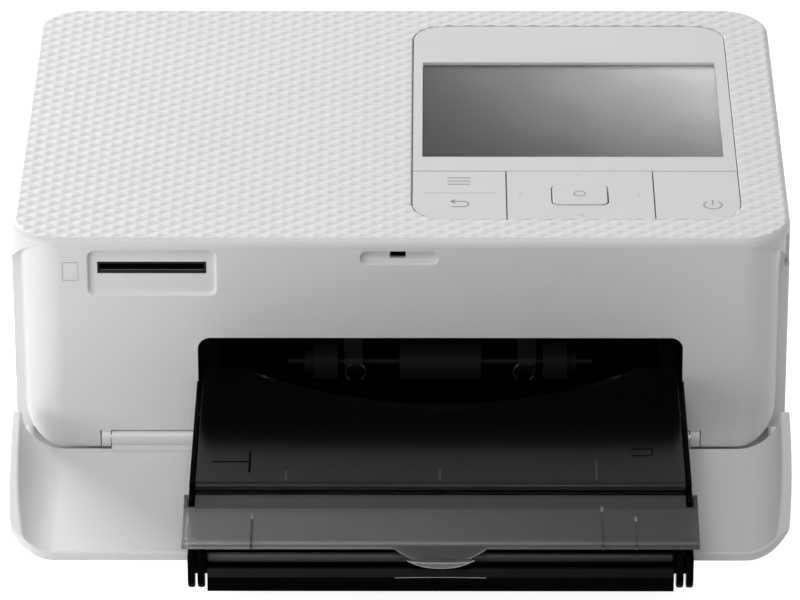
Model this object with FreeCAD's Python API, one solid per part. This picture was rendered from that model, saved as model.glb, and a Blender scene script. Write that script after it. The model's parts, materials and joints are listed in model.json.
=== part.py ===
# Compact photo printer with a fold-down front cover and a paper tray that slides in at the front.
# X runs to the printer's right, Y to its back and Z up. All lengths are in millimetres.
# While the pieces are shaped, Y = 0 is the front face of the case and Z = 0 is the table.
# Each finished piece is then moved so that the origin lies under the middle of the printer.
import FreeCAD, Part
import math
import os
from FreeCAD import Vector

# Clearances
overrun = 40.0            # every cut runs this far past what it cuts
seam = 0.2                # gap between two outer panels
fit = 0.3                 # room between a piece and its seat
running_fit = 0.06        # room round a shaft in its bearing
parallel_share = 0.999    # how straight an edge must lie along an axis to count as parallel to it

# Case
case_bottom = 3.0
wall = 2.2
drive_room = 38.65        # left of the chassis, for the drive and the main board
cassette_room = 19.95     # right of the chassis, for the cassette's grip and its cover
rear_room = 25.5          # behind the middle of the rear spool
panel_room = 11.0         # above the cassette, for the display and the keys
corner_r = 12.0
top_edge_r = 2.2
face_corner_r = 10.0
front_wrap = 13.0         # how far the front panel reaches round the sides
rear_wrap = 12.6          # how far the rear panel reaches round the sides
rim_height = 3.0          # locating rim under the top panel
rim_wall = 1.2
foot_r = 6.0
foot_sink = 0.6           # depth of the pocket that holds a foot
foot_inset_x = 18.0
foot_inset_front = 24.0
foot_inset_rear = 16.0
case_screw_r = 1.4
case_screw_head_r = 2.8
case_screw_head = 1.6
case_screw_length = 7.0
case_screw_inset = 9.0    # from the outside of the case to a screw

# Front cover, lying open on the table
cover_overhang = 0.3      # how far the cover is wider than the case, on each side
cover_wall = 2.3
cover_bottom = 0.6
cover_bend_r = 12.2
cover_tip_r = 12.5
cover_rim_tip_z = 7.2     # height of the turned-up side where the round corner starts
cover_reach = 50.5
cover_heel_gap = 1.0
cover_bump_r = 1.0
cover_bump_height = 0.5
cover_bump_inset_x = 6.0
cover_bump_inset_y = 9.0
hinge_y = 0.8
hinge_z = 4.9
barrel_r = 2.1
barrel_inset = 23.1       # from the side of the case to the hinge barrel
knuckle_width = 2.2
cover_pin_r = 1.1
cover_pin_depth = 4.0
claw_width = 3.0
claw_thickness = 1.6
claw_height = 2.6
claw_lip = 0.5

# Front face
mouth_room = 1.2          # beside the tray's lid
mouth_top = 31.8
mouth_corner_r = 3.0
card_recess_inset = 18.7  # from the left side of the case
card_recess_width = 29.4
card_recess_drop = 3.4    # below the top of the case
card_recess_height = 11.05
card_recess_r = 1.4
card_recess_depth = 1.0
card_slot_inset = 2.0     # from the side of the recess
card_slot_width = 25.3
card_slot_drop = 2.6      # below the top of the recess
card_slot_height = 2.95
card_icon_offset = 6.2    # from the recess to the far side of the mark
card_icon_width = 3.9
card_icon_rise = 3.55     # above the bottom of the recess
card_icon_height = 4.9
card_icon_depth = 0.3
pill_left = -9.4
pill_right = 8.9
pill_drop = 3.2
pill_height = 3.55
pill_depth = 1.0
claw_hole_left = -2.4
claw_hole_right = 1.3
claw_hole_rise = 1.35     # above the bottom of its recess
catch_depth = 5.0
catch_height = 5.0
catch_width = 10.0

# Ribbon compartment cover on the right side
side_cover_bottom = 8.0
side_cover_drop = 4.0     # below the top of the case
side_hinge_inset = 18.5   # in front of the back of the case
side_hinge_r = 2.0
side_pin_r = 0.9
side_pin_reach = 3.2
side_cover_gap = 0.5
notch_length = 7.0        # finger notch in front of the cover
notch_depth = 1.3
notch_height = 7.9
side_cover_grip = 1.4     # thickness of the turned-in lip at the finger notch
side_cover_grip_depth = 2.2

# Control panel, let into the top
control_width = 76.9
control_inset_right = 11.4
control_front = 11.1
control_inset_rear = 10.9
control_r = 8.0
control_drop = 0.3        # how far the panel lies below the top
control_plate = 2.4
control_flange = 1.2
control_flange_reach = 2.0
key_zone_rear = 37.0
menu_key_width = 22.1
power_key_width = 20.1
key_gap = 0.3
key_thickness = 1.6
key_stem_r = 1.2
key_stem_length = 2.2
key_travel = 0.4
ok_inset_left = 10.8      # from the side of the four-way pad
ok_inset_right = 11.0
ok_front = 18.7
ok_rear = 29.1
ok_r = 1.6
ok_proud = 0.2
display_inset_left = 2.4
display_inset_right = 3.0
display_inset_front = 7.8 # behind the keys
display_inset_rear = 21.5
window_thickness = 1.2
window_drop = 0.1
module_margin = 1.2
module_thickness = 4.6
board_thickness = 1.0
switch_size = 4.5
switch_height = 2.0
nav_ring_half_x = 11.0
nav_ring_half_y = 8.2
nav_ring_wall_x = 2.6
nav_ring_wall_y = 1.6
nav_ring_height = 1.8
nav_ring_gap = 0.5
nav_stem_x = 13.6
nav_stem_y = 10.3

# Paper tray
paper_width = 100.0
paper_room = 0.75         # beside the paper
tray_floor_z = 7.5
tray_floor = 1.2
tray_wall = 1.6
tray_wall_top = 12.8
tray_nose = 3.0           # behind the front of the flap
tray_rear = 82.0
ear_wall = 1.0
ear_top = 22.0
ear_gap = 0.35            # between an ear and the lid or the flap
ear_nose = 3.0            # in front of the flap's pin
ear_rear = 3.0            # in front of the face
ear_shelf = 1.2
lid_overhang = 3.2        # how far the lid is wider than the tray, on each side
lid_top = 22.0
lid_plate = 1.6
lid_skirt = 3.0
lid_front = 53.0
lid_rear = 4.0            # behind the face
lid_arc_front = 14.0
lid_arc_r = 68.3
lid_hinge_r = 1.5
lid_pin_r = 0.7
flap_hinge_gap = 2.0      # from the lid to the flap's pin
flap_hinge_z = 18.0
flap_pin_r = 0.8
flap_boss_r = 1.8
flap_wall = 1.0
flap_plate = 1.3
flap_near_back = 1.0      # behind the pin
flap_near_z = 19.9
flap_length = 17.0        # to the middle of the bend
flap_bend_z = 17.2
flap_bend_r = 2.5
flap_edge_z = 15.6        # where the flap ends beside its grip
flap_foot_z = 12.4
flap_foot_reach = 2.0     # beyond the bend
grip_half = 10.4
grip_reach = 1.7
grip_depth_share = 0.26   # how round the lip is against its width
grip_height = 1.4
bar_bottom = 5.4
bar_top = 11.8
bar_depth = 3.2
lobe_wall = 1.7
lobe_gap = 0.5
lobe_r = 3.4
lobe_room = 0.6           # under the flap's edge

# Pickup rollers, just inside the mouth
pickup_y = 15.0
pickup_z = 17.9
pickup_shaft_r = 1.5
pickup_shaft_half = 36.0
pickup_roller_r = 4.2
pickup_roller_width = 19.2
pickup_rib_depth = 0.35
pickup_rib_share = 0.5    # rib width against the space round the roller
pickup_ribs = 26
pickup_hub_r = 2.6
side_roller_offset = 27.1
side_roller_width = 5.6
clip_offset = 20.5
clip_width = 4.4
clip_r = 2.9
arm_depth = 3.0

# Feed tunnel, the dark liner round the paper path
tunnel_wall = 1.6
tunnel_room = 0.6         # between the mouth and the liner
tunnel_rear = 38.0
tunnel_roof = 32.6
rail_width = 8.0
rail_height = 2.0
rail_inset = 1.0
rail_front = 4.0

# Chassis
chassis_room = 3.85       # from the mouth's side to the plate
chassis_wall = 1.2
chassis_front = 36.0
chassis_inset_rear = 6.5
chassis_drop = 8.6        # below the top of the case
tie_bar_height = 5.0
tie_bar_depth = 6.0
base_thickness = 2.2

# Print unit
path_z = 23.5
path_gap = 0.2
platen_y = 78.0
platen_r = 5.0
platen_core_r = 2.5
feed_y = 88.0
feed_r = 2.8
feed_sleeve_r = 3.0
pinch_r = 2.2
pinch_core_r = 1.2
pinch_gap = 0.3
bush_r = 4.0
bush_wall = 2.0
head_half_y = 4.0
head_thickness = 1.5
sink_half_y = 7.0
sink_base = 3.0
sink_top = 36.5
sink_fin = 1.0
sink_fins = 8
head_travel = 5.0
guide_pin_r = 1.5
guide_pin_reach = 3.0
guide_slot_gap = 0.1
spool_offset = 27.0
spool_z = 36.0
spool_r = 9.0
spool_core_r = 5.0
spool_flange_r = 10.0
spool_flange = 1.5
trough_r = 10.6
trough_wall = 1.2
cassette_gap = 3.6        # beside the cassette's body
cassette_grip = 9.0
cassette_end = 2.4
cassette_hub_r = 3.0
cassette_hub_length = 4.0

# Drive on the left of the chassis
tooth_module = 0.8
tooth_height_share = 0.7  # addendum against the module
tooth_root_share = 0.95   # dedendum against the module
tooth_base_share = 0.27   # half a tooth's foot against the pitch
tooth_tip_share = 0.10    # half a tooth's tip against the pitch
half_pitch_share = 0.5    # a tooth faces a gap, half a pitch on
gear_width = 4.0
pinion_extra = 1.0
gear_gap = 3.0            # from the chassis plate to the gears
feed_teeth = 30
feed_pinion_teeth = 10
feed_pinion_angle = 135.0
take_up_teeth = 22
take_up_pinion_teeth = 9
take_up_pinion_angle = 0.0
feed_motor_r = 10.0
feed_motor_length = 17.0
ribbon_motor_r = 8.0
ribbon_motor_length = 15.0
motor_boss = 0.8
motor_shaft_r = 1.0
bracket_wall = 1.2
bracket_gap = 1.6         # from the gears to the motor bracket
bracket_front = 60.0
bracket_inset_rear = 8.5
bracket_drop = 11.6

# Paper guides behind the tray
ramp_front = 84.0
ramp_low = 8.6
ramp_wall = 1.6
ramp_knee_y = 94.0
ramp_knee_z = 13.5
ramp_top_y = 106.0
rear_slot_room = 0.65     # beside the width of the tray
rear_slot_bottom = 21.2
rear_slot_top = 26.6

# Boards, sockets and lever
board_inset_x = 8.1       # from the left side of the case
board_front = 36.0
board_inset_rear = 18.5
board_bottom = 8.0
board_drop = 10.6
chip_height = 1.6
chip_size = 12.0
chip_step = 17.0
chip_count = 4
jack_width = 9.0
jack_height = 11.0
jack_length = 13.0
jack_z = 15.0
jack_inset = 18.1
jack_bore_r = 2.8
jack_pin_r = 0.9
jack_depth = 9.0
usb_width = 9.0
usb_height = 3.3
usb_length = 7.4
usb_wall = 0.4
usb_inset = 33.1
usb_z = 13.0
socket_gap = 0.3
reader_length = 33.0
reader_side = 1.2
reader_lid = 0.6
reader_floor = 1.4
vent_count = 7
vent_width = 2.0
vent_step = 4.6
vent_height = 14.0
vent_drop = 11.6
vent_inset = 25.1
lever_y = 88.0
lever_z = 14.0
lever_half = 12.0
lever_width = 5.0
lever_wall = 1.6
lever_pin_r = 1.2
lever_boss_r = 3.2
lift_plate = 0.8
lift_rear = 60.0
lift_front = 4.0
lift_inset = 6.0
lift_gap = 0.3

# Values worked out from those above
tray_width = paper_width + 2 * (paper_room + tray_wall)
lid_width = tray_width + 2 * lid_overhang
mouth_width = lid_width + 2 * mouth_room
chassis_half = mouth_width / 2 + chassis_room
cassette_half = chassis_half - cassette_gap
case_width = 2 * (chassis_half + chassis_wall) + drive_room + cassette_room
case_depth = platen_y + spool_offset + rear_room
case_top = spool_z + trough_r + panel_room
flap_hinge_y = -lid_front - flap_hinge_gap
flap_near = -flap_hinge_y - flap_near_back
flap_bend = flap_near + flap_length
flap_foot = flap_bend + flap_foot_reach
tray_front = flap_foot - tray_nose
ear_front = -flap_hinge_y + ear_nose
card_recess_top = case_top - card_recess_drop
card_recess_bottom = card_recess_top - card_recess_height
card_slot_top = card_recess_top - card_slot_drop
card_slot_bottom = card_slot_top - card_slot_height
card_icon_bottom = card_recess_bottom + card_icon_rise
pill_top = case_top - pill_drop
pill_bottom = pill_top - pill_height
claw_hole_bottom = pill_bottom + claw_hole_rise
side_cover_top = case_top - side_cover_drop
notch_bottom = side_cover_top - notch_height
chassis_top = case_top - chassis_drop
bracket_top = case_top - bracket_drop
board_top = case_top - board_drop
vent_top = case_top - vent_drop
vent_bottom = vent_top - vent_height
half_width = case_width / 2
feed_x = half_width - cassette_room - chassis_wall - chassis_half
barrel_half = half_width - barrel_inset
card_recess_left = -half_width + card_recess_inset
card_recess_right = card_recess_left + card_recess_width
card_slot_left = card_recess_left + card_slot_inset
card_slot_right = card_slot_left + card_slot_width
card_icon_left = card_recess_left - card_icon_offset
side_cover_hinge_y = case_depth - side_hinge_inset
control_right = half_width - control_inset_right
control_left = control_right - control_width
control_rear = case_depth - control_inset_rear
key_split_left = control_left + menu_key_width
key_split_right = control_right - power_key_width
ok_left = key_split_left + ok_inset_left
ok_right = key_split_right - ok_inset_right
display_left = control_left + display_inset_left
display_right = control_right - display_inset_right
display_front = key_zone_rear + display_inset_front
display_rear = control_rear - display_inset_rear
chassis_rear = case_depth - chassis_inset_rear
bracket_rear = case_depth - bracket_inset_rear
rear_slot_half = tray_width / 2 + rear_slot_room
board_x = -half_width + board_inset_x
board_rear = case_depth - board_inset_rear
jack_x = -half_width + jack_inset
usb_x = -half_width + usb_inset
vent_x = -half_width + vent_inset
skirt_z = case_top - top_edge_r
face_top = skirt_z - seam
roof_z = case_top - wall
floor_top = case_bottom + base_thickness
cover_half = half_width + cover_overhang
cover_top = cover_bottom + cover_wall
core_half = half_width - cover_wall
recess_depth = cover_bend_r - cover_wall
front_reach = flap_foot + grip_reach
middle_y = (case_depth - front_reach) / 2
rear_split = case_depth - rear_wrap
mouth_left = feed_x - mouth_width / 2
mouth_right = feed_x + mouth_width / 2
tray_left = feed_x - tray_width / 2
tray_right = feed_x + tray_width / 2
chassis_left = feed_x - chassis_half
chassis_right = feed_x + chassis_half
control_top = case_top - control_drop
flange_top = control_top - control_plate
flange_bottom = flange_top - control_flange
key_bottom = control_top - key_thickness
stem_bottom = key_bottom - key_stem_length
switch_top = stem_bottom - key_travel - seam / 2
board_z = switch_top - switch_height
window_top = control_top - window_drop
window_bottom = window_top - window_thickness
platen_z = path_z - path_gap - platen_r
feed_z = path_z - feed_sleeve_r
pinch_z = path_z + pinch_gap + pinch_r
head_bottom = path_z + path_gap
sink_bottom = head_bottom + head_thickness
supply_y = platen_y - spool_offset
take_up_y = platen_y + spool_offset
gear_right = chassis_left - chassis_wall - gear_gap
gear_left = gear_right - gear_width
bracket_right = gear_left - bracket_gap
bracket_left = bracket_right - bracket_wall


def block(x0, x1, y0, y1, z0, z1):
    """A box between two corners."""
    return Part.makeBox(x1 - x0, y1 - y0, z1 - z0, Vector(x0, y0, z0))


def rod_x(x0, x1, y, z, radius):
    """A round rod that runs along X."""
    return Part.makeCylinder(radius, x1 - x0, Vector(x0, y, z), Vector(1, 0, 0))


def rod_y(x, y0, y1, z, radius):
    """A round rod that runs along Y."""
    return Part.makeCylinder(radius, y1 - y0, Vector(x, y0, z), Vector(0, 1, 0))


def rod_z(x, y, z0, z1, radius):
    """A round rod that stands along Z."""
    return Part.makeCylinder(radius, z1 - z0, Vector(x, y, z0), Vector(0, 0, 1))


def join(first, *others):
    """One solid from several that meet or overlap."""
    return first.fuse(list(others)).removeSplitter()


def cut(shape, *tools):
    """The shape with every tool taken out of it."""
    return shape.cut(list(tools)).removeSplitter()


def rounded(x0, x1, y0, y1, z0, z1, radius, along):
    """A box whose four edges along one direction are rounded."""
    body = block(x0, x1, y0, y1, z0, z1)
    edges = []
    for edge in body.Edges:
        run = edge.Vertexes[-1].Point.sub(edge.Vertexes[0].Point)
        if abs(run.dot(along)) > parallel_share * run.Length:
            edges.append(edge)
    return body.makeFillet(radius, edges)


def prism_x(points, x0, x1):
    """An outline in Y and Z, drawn out along X."""
    outline = Part.makePolygon([Vector(x0, y, z) for y, z in points + points[:1]])
    return Part.Face(outline).extrude(Vector(x1 - x0, 0, 0))


def both_sides(shape, centre=0):
    """The shape and its mirror image across a plane of constant X."""
    return shape.fuse(shape.mirror(Vector(centre, 0, 0), Vector(1, 0, 0)))


def save(name, shape):
    """Move a finished piece into the printer's own frame and write it."""
    placed = shape.copy()
    placed.translate(Vector(0, -middle_y, 0))
    placed.exportStep("parts/" + name + ".step")
    print(name, len(placed.Solids), "solids", round(placed.Volume), "mm3", placed.isValid())


# Case


def case_block(inset, top, bottom):
    """The case's outline drawn in by an inset, between two heights."""
    return rounded(-half_width + inset, half_width - inset, inset, case_depth - inset,
                   bottom, top, corner_r - inset, Vector(0, 0, 1))


def outer_case():
    """The outside of the whole case, with its softened top edge."""
    body = case_block(0, case_top, case_bottom)
    rim = [edge for edge in body.Edges if edge.BoundBox.ZMin > case_top - seam]
    return body.makeFillet(top_edge_r, rim)


def cover_outline(gap, y0, y1):
    """The front view of the closed cover with a gap round it, drawn out along Y."""
    top = hinge_z + hinge_y + cover_reach + gap
    low = case_bottom - overrun
    return rounded(-cover_half - gap, cover_half + gap, y0, y1, low, top,
                   cover_tip_r, Vector(0, 1, 0))


def face_core():
    """The front of the case inside the closed cover: narrower, with round lower corners."""
    plan = rounded(-core_half, core_half, 0, case_depth, case_bottom - seam, case_top + overrun,
                   recess_depth, Vector(0, 0, 1))
    front = rounded(-core_half, core_half, -overrun, case_depth, case_bottom,
                    case_top + overrun, face_corner_r, Vector(0, 1, 0))
    return plan.common(front)


def cover_recess():
    """What the closed cover's turned-up sides take from the front corners of the case."""
    return cut(cover_outline(fit, -overrun, recess_depth), face_core())


def walls():
    """The case's side walls as one ring, open above and below."""
    ring = cut(outer_case(), case_block(wall, case_top + overrun, case_bottom - overrun))
    return ring.common(block(-half_width, half_width, 0, case_depth, case_bottom, face_top))


def mouth(y0, y1):
    """The tray's opening: round upper corners, open down to the cover's hinge."""
    shape = rounded(mouth_left, mouth_right, y0, y1, -overrun, mouth_top,
                    mouth_corner_r, Vector(0, 1, 0))
    return shape.common(block(mouth_left, mouth_right, y0, y1, floor_top, mouth_top))


def hinge_notch():
    """Room for the cover's hinge barrel under the face."""
    reach = barrel_half + seam + knuckle_width + fit
    return block(-reach, reach, -overrun, hinge_y + barrel_r + fit,
                 -overrun, hinge_z + barrel_r + fit)


def hinge_knuckles():
    """The two fixed eyes at the ends of the cover's barrel, each on a short stalk."""
    start = barrel_half + seam
    eye = rod_x(start, start + knuckle_width, hinge_y, hinge_z, barrel_r)
    stalk = block(start, start + knuckle_width, 0, hinge_y + barrel_r,
                  hinge_z, hinge_z + barrel_r + fit + overrun)
    stalk = stalk.common(block(start, start + knuckle_width, 0, wall,
                               hinge_z, hinge_z + barrel_r + fit))
    bore = rod_x(0, overrun + start, hinge_y, hinge_z, cover_pin_r)
    return both_sides(cut(join(eye, stalk), bore))


def card_icon():
    """A generic card outline with a cut corner, sunk into the face beside the slot."""
    right = card_icon_left + card_icon_width
    top = card_icon_bottom + card_icon_height
    line = card_icon_depth
    frame = block(card_icon_left, right, -overrun, card_icon_depth, card_icon_bottom, top)
    inner = block(card_icon_left + line, right - line, -overrun, card_icon_depth,
                  card_icon_bottom + line, top - line)
    return frame.cut(inner)


def front_panel():
    """The face with its card slot, catch hole and mouth, and the corners of the case."""
    reach = front_wrap + overrun
    cavity = rounded(-core_half + wall, core_half - wall, wall, reach, case_bottom + wall,
                     case_top + overrun, recess_depth - wall, Vector(0, 0, 1))
    body = outer_case().cut(cover_recess())
    body = body.common(block(-half_width, half_width, 0, front_wrap, case_bottom, face_top))
    body = body.cut(cavity)
    pill = rounded(pill_left, pill_right, -overrun, pill_depth, pill_bottom, pill_top,
                   (pill_top - pill_bottom) / 2 - fit / 2, Vector(0, 1, 0))
    claw_hole = block(claw_hole_left, claw_hole_right, -overrun, front_wrap,
                      claw_hole_bottom, pill_top)
    recess = rounded(card_recess_left, card_recess_right, -overrun, card_recess_depth,
                     card_recess_bottom, card_recess_top, card_recess_r, Vector(0, 1, 0))
    slot = block(card_slot_left, card_slot_right, -overrun, front_wrap,
                 card_slot_bottom, card_slot_top)
    notch = block(half_width - notch_depth, half_width + overrun, front_wrap - notch_length,
                  front_wrap + seam, notch_bottom, face_top + seam)
    body = cut(body, pill, claw_hole, recess, slot, notch, mouth(-overrun, front_wrap),
               hinge_notch(), card_icon())
    return join(body, hinge_knuckles())


def cover_hinge_pins():
    """Two steel pins that hold the front cover in its eyes."""
    inner = barrel_half - cover_pin_depth
    outer = barrel_half + seam + knuckle_width
    return both_sides(rod_x(inner, outer, hinge_y, hinge_z, cover_pin_r))


def left_side_panel():
    """The plain left wall."""
    return walls().common(block(-half_width, 0, front_wrap + seam, rear_split - seam,
                                case_bottom, face_top))


def side_cover_cut(gap):
    """The door's opening in the right wall."""
    rear = side_cover_hinge_y + side_hinge_r + gap
    return block(half_width - wall - overrun, half_width + overrun, front_wrap - seam, rear,
                 side_cover_bottom - seam, side_cover_top + seam)


def side_hinge_x():
    """Where the side cover's hinge pins stand."""
    return half_width - side_hinge_r


def side_cover_ears():
    """Two shelves on the right wall, one over and one under the cover's barrel."""
    x = side_hinge_x()
    left = x - side_hinge_r
    front = side_cover_hinge_y - side_hinge_r
    rear = side_cover_hinge_y + side_hinge_r + side_cover_gap + wall
    low = block(left, half_width - fit, front, rear, side_cover_bottom - seam - wall,
                side_cover_bottom - seam)
    high = block(left, half_width - fit, front, rear, side_cover_top + seam,
                 face_top)
    return [low, high]


def right_side_panel():
    """The right wall: a frame round the ribbon compartment's cover."""
    frame = walls().common(block(0, half_width, front_wrap + seam, rear_split - seam,
                                 case_bottom, face_top))
    frame = cut(frame, side_cover_cut(side_cover_gap))
    bores = rod_z(side_hinge_x(), side_cover_hinge_y, case_bottom - overrun,
                  case_top + overrun, side_pin_r)
    return cut(join(frame, *side_cover_ears()), bores)


def side_cover():
    """The ribbon compartment's cover, hinged at its rear edge, with a grip lip in front."""
    front = front_wrap + seam
    x = side_hinge_x()
    skin = block(half_width - wall, half_width, front, side_cover_hinge_y,
                 side_cover_bottom, side_cover_top)
    barrel = rod_z(x, side_cover_hinge_y, side_cover_bottom, side_cover_top, side_hinge_r)
    grip = block(half_width - wall - side_cover_grip_depth, half_width - wall,
                 front, front + side_cover_grip, notch_bottom, side_cover_top - seam)
    stiffener = block(half_width - wall - side_cover_grip, half_width - wall,
                      front + front_wrap, side_cover_hinge_y - front_wrap,
                      side_cover_bottom + wall, side_cover_bottom + wall + side_cover_grip)
    body = join(skin, barrel, grip, stiffener)
    bore = rod_z(x, side_cover_hinge_y, side_cover_bottom, side_cover_bottom + side_pin_reach,
                 side_pin_r + running_fit)
    top_bore = rod_z(x, side_cover_hinge_y, side_cover_top - side_pin_reach, side_cover_top,
                     side_pin_r + running_fit)
    return cut(body, bore, top_bore)


def side_cover_pins():
    """The pins above and below the side cover's barrel."""
    x = side_hinge_x()
    low = rod_z(x, side_cover_hinge_y, side_cover_bottom - seam - wall,
                side_cover_bottom + side_pin_reach - fit, side_pin_r)
    high = rod_z(x, side_cover_hinge_y, side_cover_top - side_pin_reach + fit,
                 face_top, side_pin_r)
    return Part.makeCompound([low, high])


def rear_panel():
    """The back of the case with the paper's rear slot, the vents and two sockets."""
    body = walls().common(block(-half_width, half_width, rear_split, case_depth,
                                case_bottom, face_top))
    slot = rounded(feed_x - rear_slot_half, feed_x + rear_slot_half, rear_split,
                   case_depth + overrun, rear_slot_bottom, rear_slot_top,
                   mouth_corner_r / 2, Vector(0, 1, 0))
    jack = rod_y(jack_x, rear_split, case_depth + overrun, jack_z, jack_bore_r + fit)
    half = usb_width / 2 + socket_gap
    usb = rounded(usb_x - half, usb_x + half, rear_split, case_depth + overrun,
                  usb_z - usb_height / 2 - socket_gap, usb_z + usb_height / 2 + socket_gap,
                  usb_height / 2, Vector(0, 1, 0))
    vents = []
    for number in range(vent_count):
        x = vent_x + number * vent_step
        vents.append(rounded(x - vent_width / 2, x + vent_width / 2, rear_split,
                             case_depth + overrun, vent_bottom, vent_top,
                             vent_width / 2 - seam / 2, Vector(0, 1, 0)))
    return cut(body, slot, jack, usb, *vents)


def control_block(grow, bottom, top):
    """The control panel's outline, larger by a margin, between two heights."""
    return rounded(control_left - grow, control_right + grow, control_front - grow,
                   control_rear + grow, bottom, top, control_r + grow, Vector(0, 0, 1))


def locating_rim():
    """The ring under the top panel that drops inside the walls."""
    outer_inset = half_width - (core_half - wall) + fit
    outer = rounded(-half_width + outer_inset, half_width - outer_inset, wall + fit,
                    case_depth - wall - fit, roof_z - rim_height, roof_z,
                    recess_depth - wall, Vector(0, 0, 1))
    inset = outer_inset + rim_wall
    inner = block(-half_width + inset, half_width - inset, wall + fit + rim_wall,
                  case_depth - wall - fit - rim_wall, -overrun, case_top)
    catch_room = block(-catch_width / 2 + claw_middle() - fit, catch_width / 2 + claw_middle() + fit,
                       -overrun, wall + fit + rim_wall + fit, -overrun, roof_z)
    return cut(outer, inner, catch_room)


def top_panel():
    """The patterned lid of the case, with an opening for the control panel."""
    slab = outer_case().common(block(-half_width, half_width, 0, case_depth,
                                     skirt_z, case_top))
    opening = control_block(seam, case_bottom, case_top + overrun)
    return cut(join(slab, locating_rim()), opening)


def base_plate():
    """The floor of the case, with pockets for the feet and holes for the screws."""
    inset = wall + fit
    body = rounded(-half_width + inset, half_width - inset, -overrun, case_depth - inset,
                   case_bottom, floor_top, corner_r - inset, Vector(0, 0, 1))
    body = body.common(block(-half_width, half_width, front_wrap + seam, case_depth,
                             case_bottom, floor_top))
    pockets = [rod_z(x, y, case_bottom - overrun, case_bottom + foot_sink, foot_r + fit / 2)
               for x, y in foot_places()]
    holes = [rod_z(x, y, case_bottom - overrun, floor_top + overrun,
                   case_screw_r + running_fit) for x, y in screw_places()]
    heads = [rod_z(x, y, case_bottom - overrun, case_bottom + case_screw_head,
                   case_screw_head_r + fit) for x, y in screw_places()]
    return join(cut(body, *pockets, *holes, *heads), *screw_bosses())


def foot_places():
    """The four feet, as X and Y."""
    x = half_width - foot_inset_x
    return [(side * x, y) for side in (-1, 1)
            for y in (foot_inset_front, case_depth - foot_inset_rear)]


def screw_places():
    """The four case screws, as X and Y."""
    x = half_width - case_screw_inset
    front = front_wrap + case_screw_inset
    return [(side * x, y) for side in (-1, 1)
            for y in (front, case_depth - case_screw_inset - wall)]


def rubber_feet():
    """Four round feet, each with a softened lower edge."""
    feet = []
    for x, y in foot_places():
        foot = rod_z(x, y, 0, case_bottom + foot_sink, foot_r)
        edges = [edge for edge in foot.Edges if edge.BoundBox.ZMax < foot_sink / 2]
        feet.append(foot.makeFillet(foot_sink, edges))
    return Part.makeCompound(feet)


def case_screws():
    """The screws that hold the floor."""
    screws = []
    for x, y in screw_places():
        head = rod_z(x, y, case_bottom + seam, case_bottom + case_screw_head,
                     case_screw_head_r)
        shank = rod_z(x, y, case_bottom + seam, case_bottom + case_screw_length,
                      case_screw_r)
        slot = block(x - case_screw_head_r, x + case_screw_head_r, y - fit, y + fit,
                     case_bottom, case_bottom + case_screw_head / 2)
        screws.append(cut(join(head, shank), slot))
    return Part.makeCompound(screws)


def screw_bosses():
    """Round posts on the floor that the case screws bite into."""
    posts = []
    for x, y in screw_places():
        post = rod_z(x, y, floor_top, case_bottom + case_screw_length + wall,
                     case_screw_head_r + wall / 2)
        posts.append(cut(post, rod_z(x, y, case_bottom, case_bottom + case_screw_length + fit,
                                     case_screw_r + running_fit)))
    return posts


# Front cover


def claw_middle():
    """The catch's place along X, in the middle of its hole in the face."""
    return (claw_hole_left + claw_hole_right) / 2


def claw_z():
    """The height of the claw when the cover is shut."""
    return (claw_hole_bottom + pill_top) / 2


def front_cover():
    """A shell with turned-up sides, its hinge barrel, closing claw and two small bumps."""
    heel = -cover_heel_gap
    outer = rounded(-cover_half, cover_half, -cover_reach, heel, cover_bottom,
                    cover_bottom + 2 * cover_bend_r + overrun, cover_bend_r, Vector(0, 1, 0))
    inner = rounded(-cover_half + cover_wall, cover_half - cover_wall, -cover_reach - overrun,
                    overrun, cover_top, cover_top + 2 * cover_bend_r + overrun,
                    cover_bend_r - cover_wall, Vector(0, 1, 0))
    plan = rounded(-cover_half, cover_half, -cover_reach, overrun, cover_bottom,
                   cover_bottom + cover_bend_r, cover_tip_r, Vector(0, 0, 1))
    rim_heel_z = cover_bottom + cover_bend_r
    corner_y = cover_tip_r - cover_reach
    fall = (rim_heel_z - cover_rim_tip_z) / (heel - corner_y)
    far_y = -cover_reach - overrun
    above = prism_x([(heel + overrun, rim_heel_z + fall * overrun),
                     (far_y, rim_heel_z - fall * (heel - far_y)),
                     (far_y, case_top), (heel + overrun, case_top)], -case_width, case_width)
    shell = outer.common(plan).cut([inner, above])
    barrel = rod_x(-barrel_half, barrel_half, hinge_y, hinge_z, barrel_r)
    web = block(-barrel_half, barrel_half, heel - cover_wall, hinge_y, cover_bottom,
                hinge_z - barrel_r / 2)
    y = hinge_y - (claw_z() - hinge_z)
    left = claw_middle() - claw_width / 2
    claw = block(left, left + claw_width, y - claw_thickness / 2, y + claw_thickness / 2,
                 cover_top - cover_wall / 2, cover_top + claw_height)
    lip = block(left, left + claw_width, y - claw_thickness / 2 - claw_lip,
                y, cover_top + claw_height - claw_lip, cover_top + claw_height)
    x = cover_half - cover_bump_inset_x
    bump = rod_z(x - cover_wall, cover_bump_inset_y - cover_reach, cover_top - cover_wall / 2,
                 cover_top + cover_bump_height, cover_bump_r)
    bores = both_sides(rod_x(barrel_half - cover_pin_depth - fit, barrel_half + overrun,
                             hinge_y, hinge_z, cover_pin_r + running_fit))
    body = join(shell, web, barrel, claw, lip, both_sides(bump))
    return cut(body, bores)


def cover_catch():
    """The sprung catch behind the hole in the face."""
    z = claw_z()
    middle = claw_middle()
    y = wall + seam
    plate = block(middle - catch_width / 2, middle + catch_width / 2, y, y + catch_depth,
                  z - catch_height / 2, roof_z - seam)
    room = block(middle - claw_width, middle + claw_width, y - overrun,
                 y + catch_depth - rim_wall, claw_hole_bottom - fit, pill_top)
    return cut(plate, room)


# Control panel


def key_row(left, right, front, rear):
    """One key's share of the panel's front part, with its outer corners round."""
    outline = control_block(0, key_bottom, control_top)
    return outline.common(block(left, right, front, rear, key_bottom, control_top))


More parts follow.
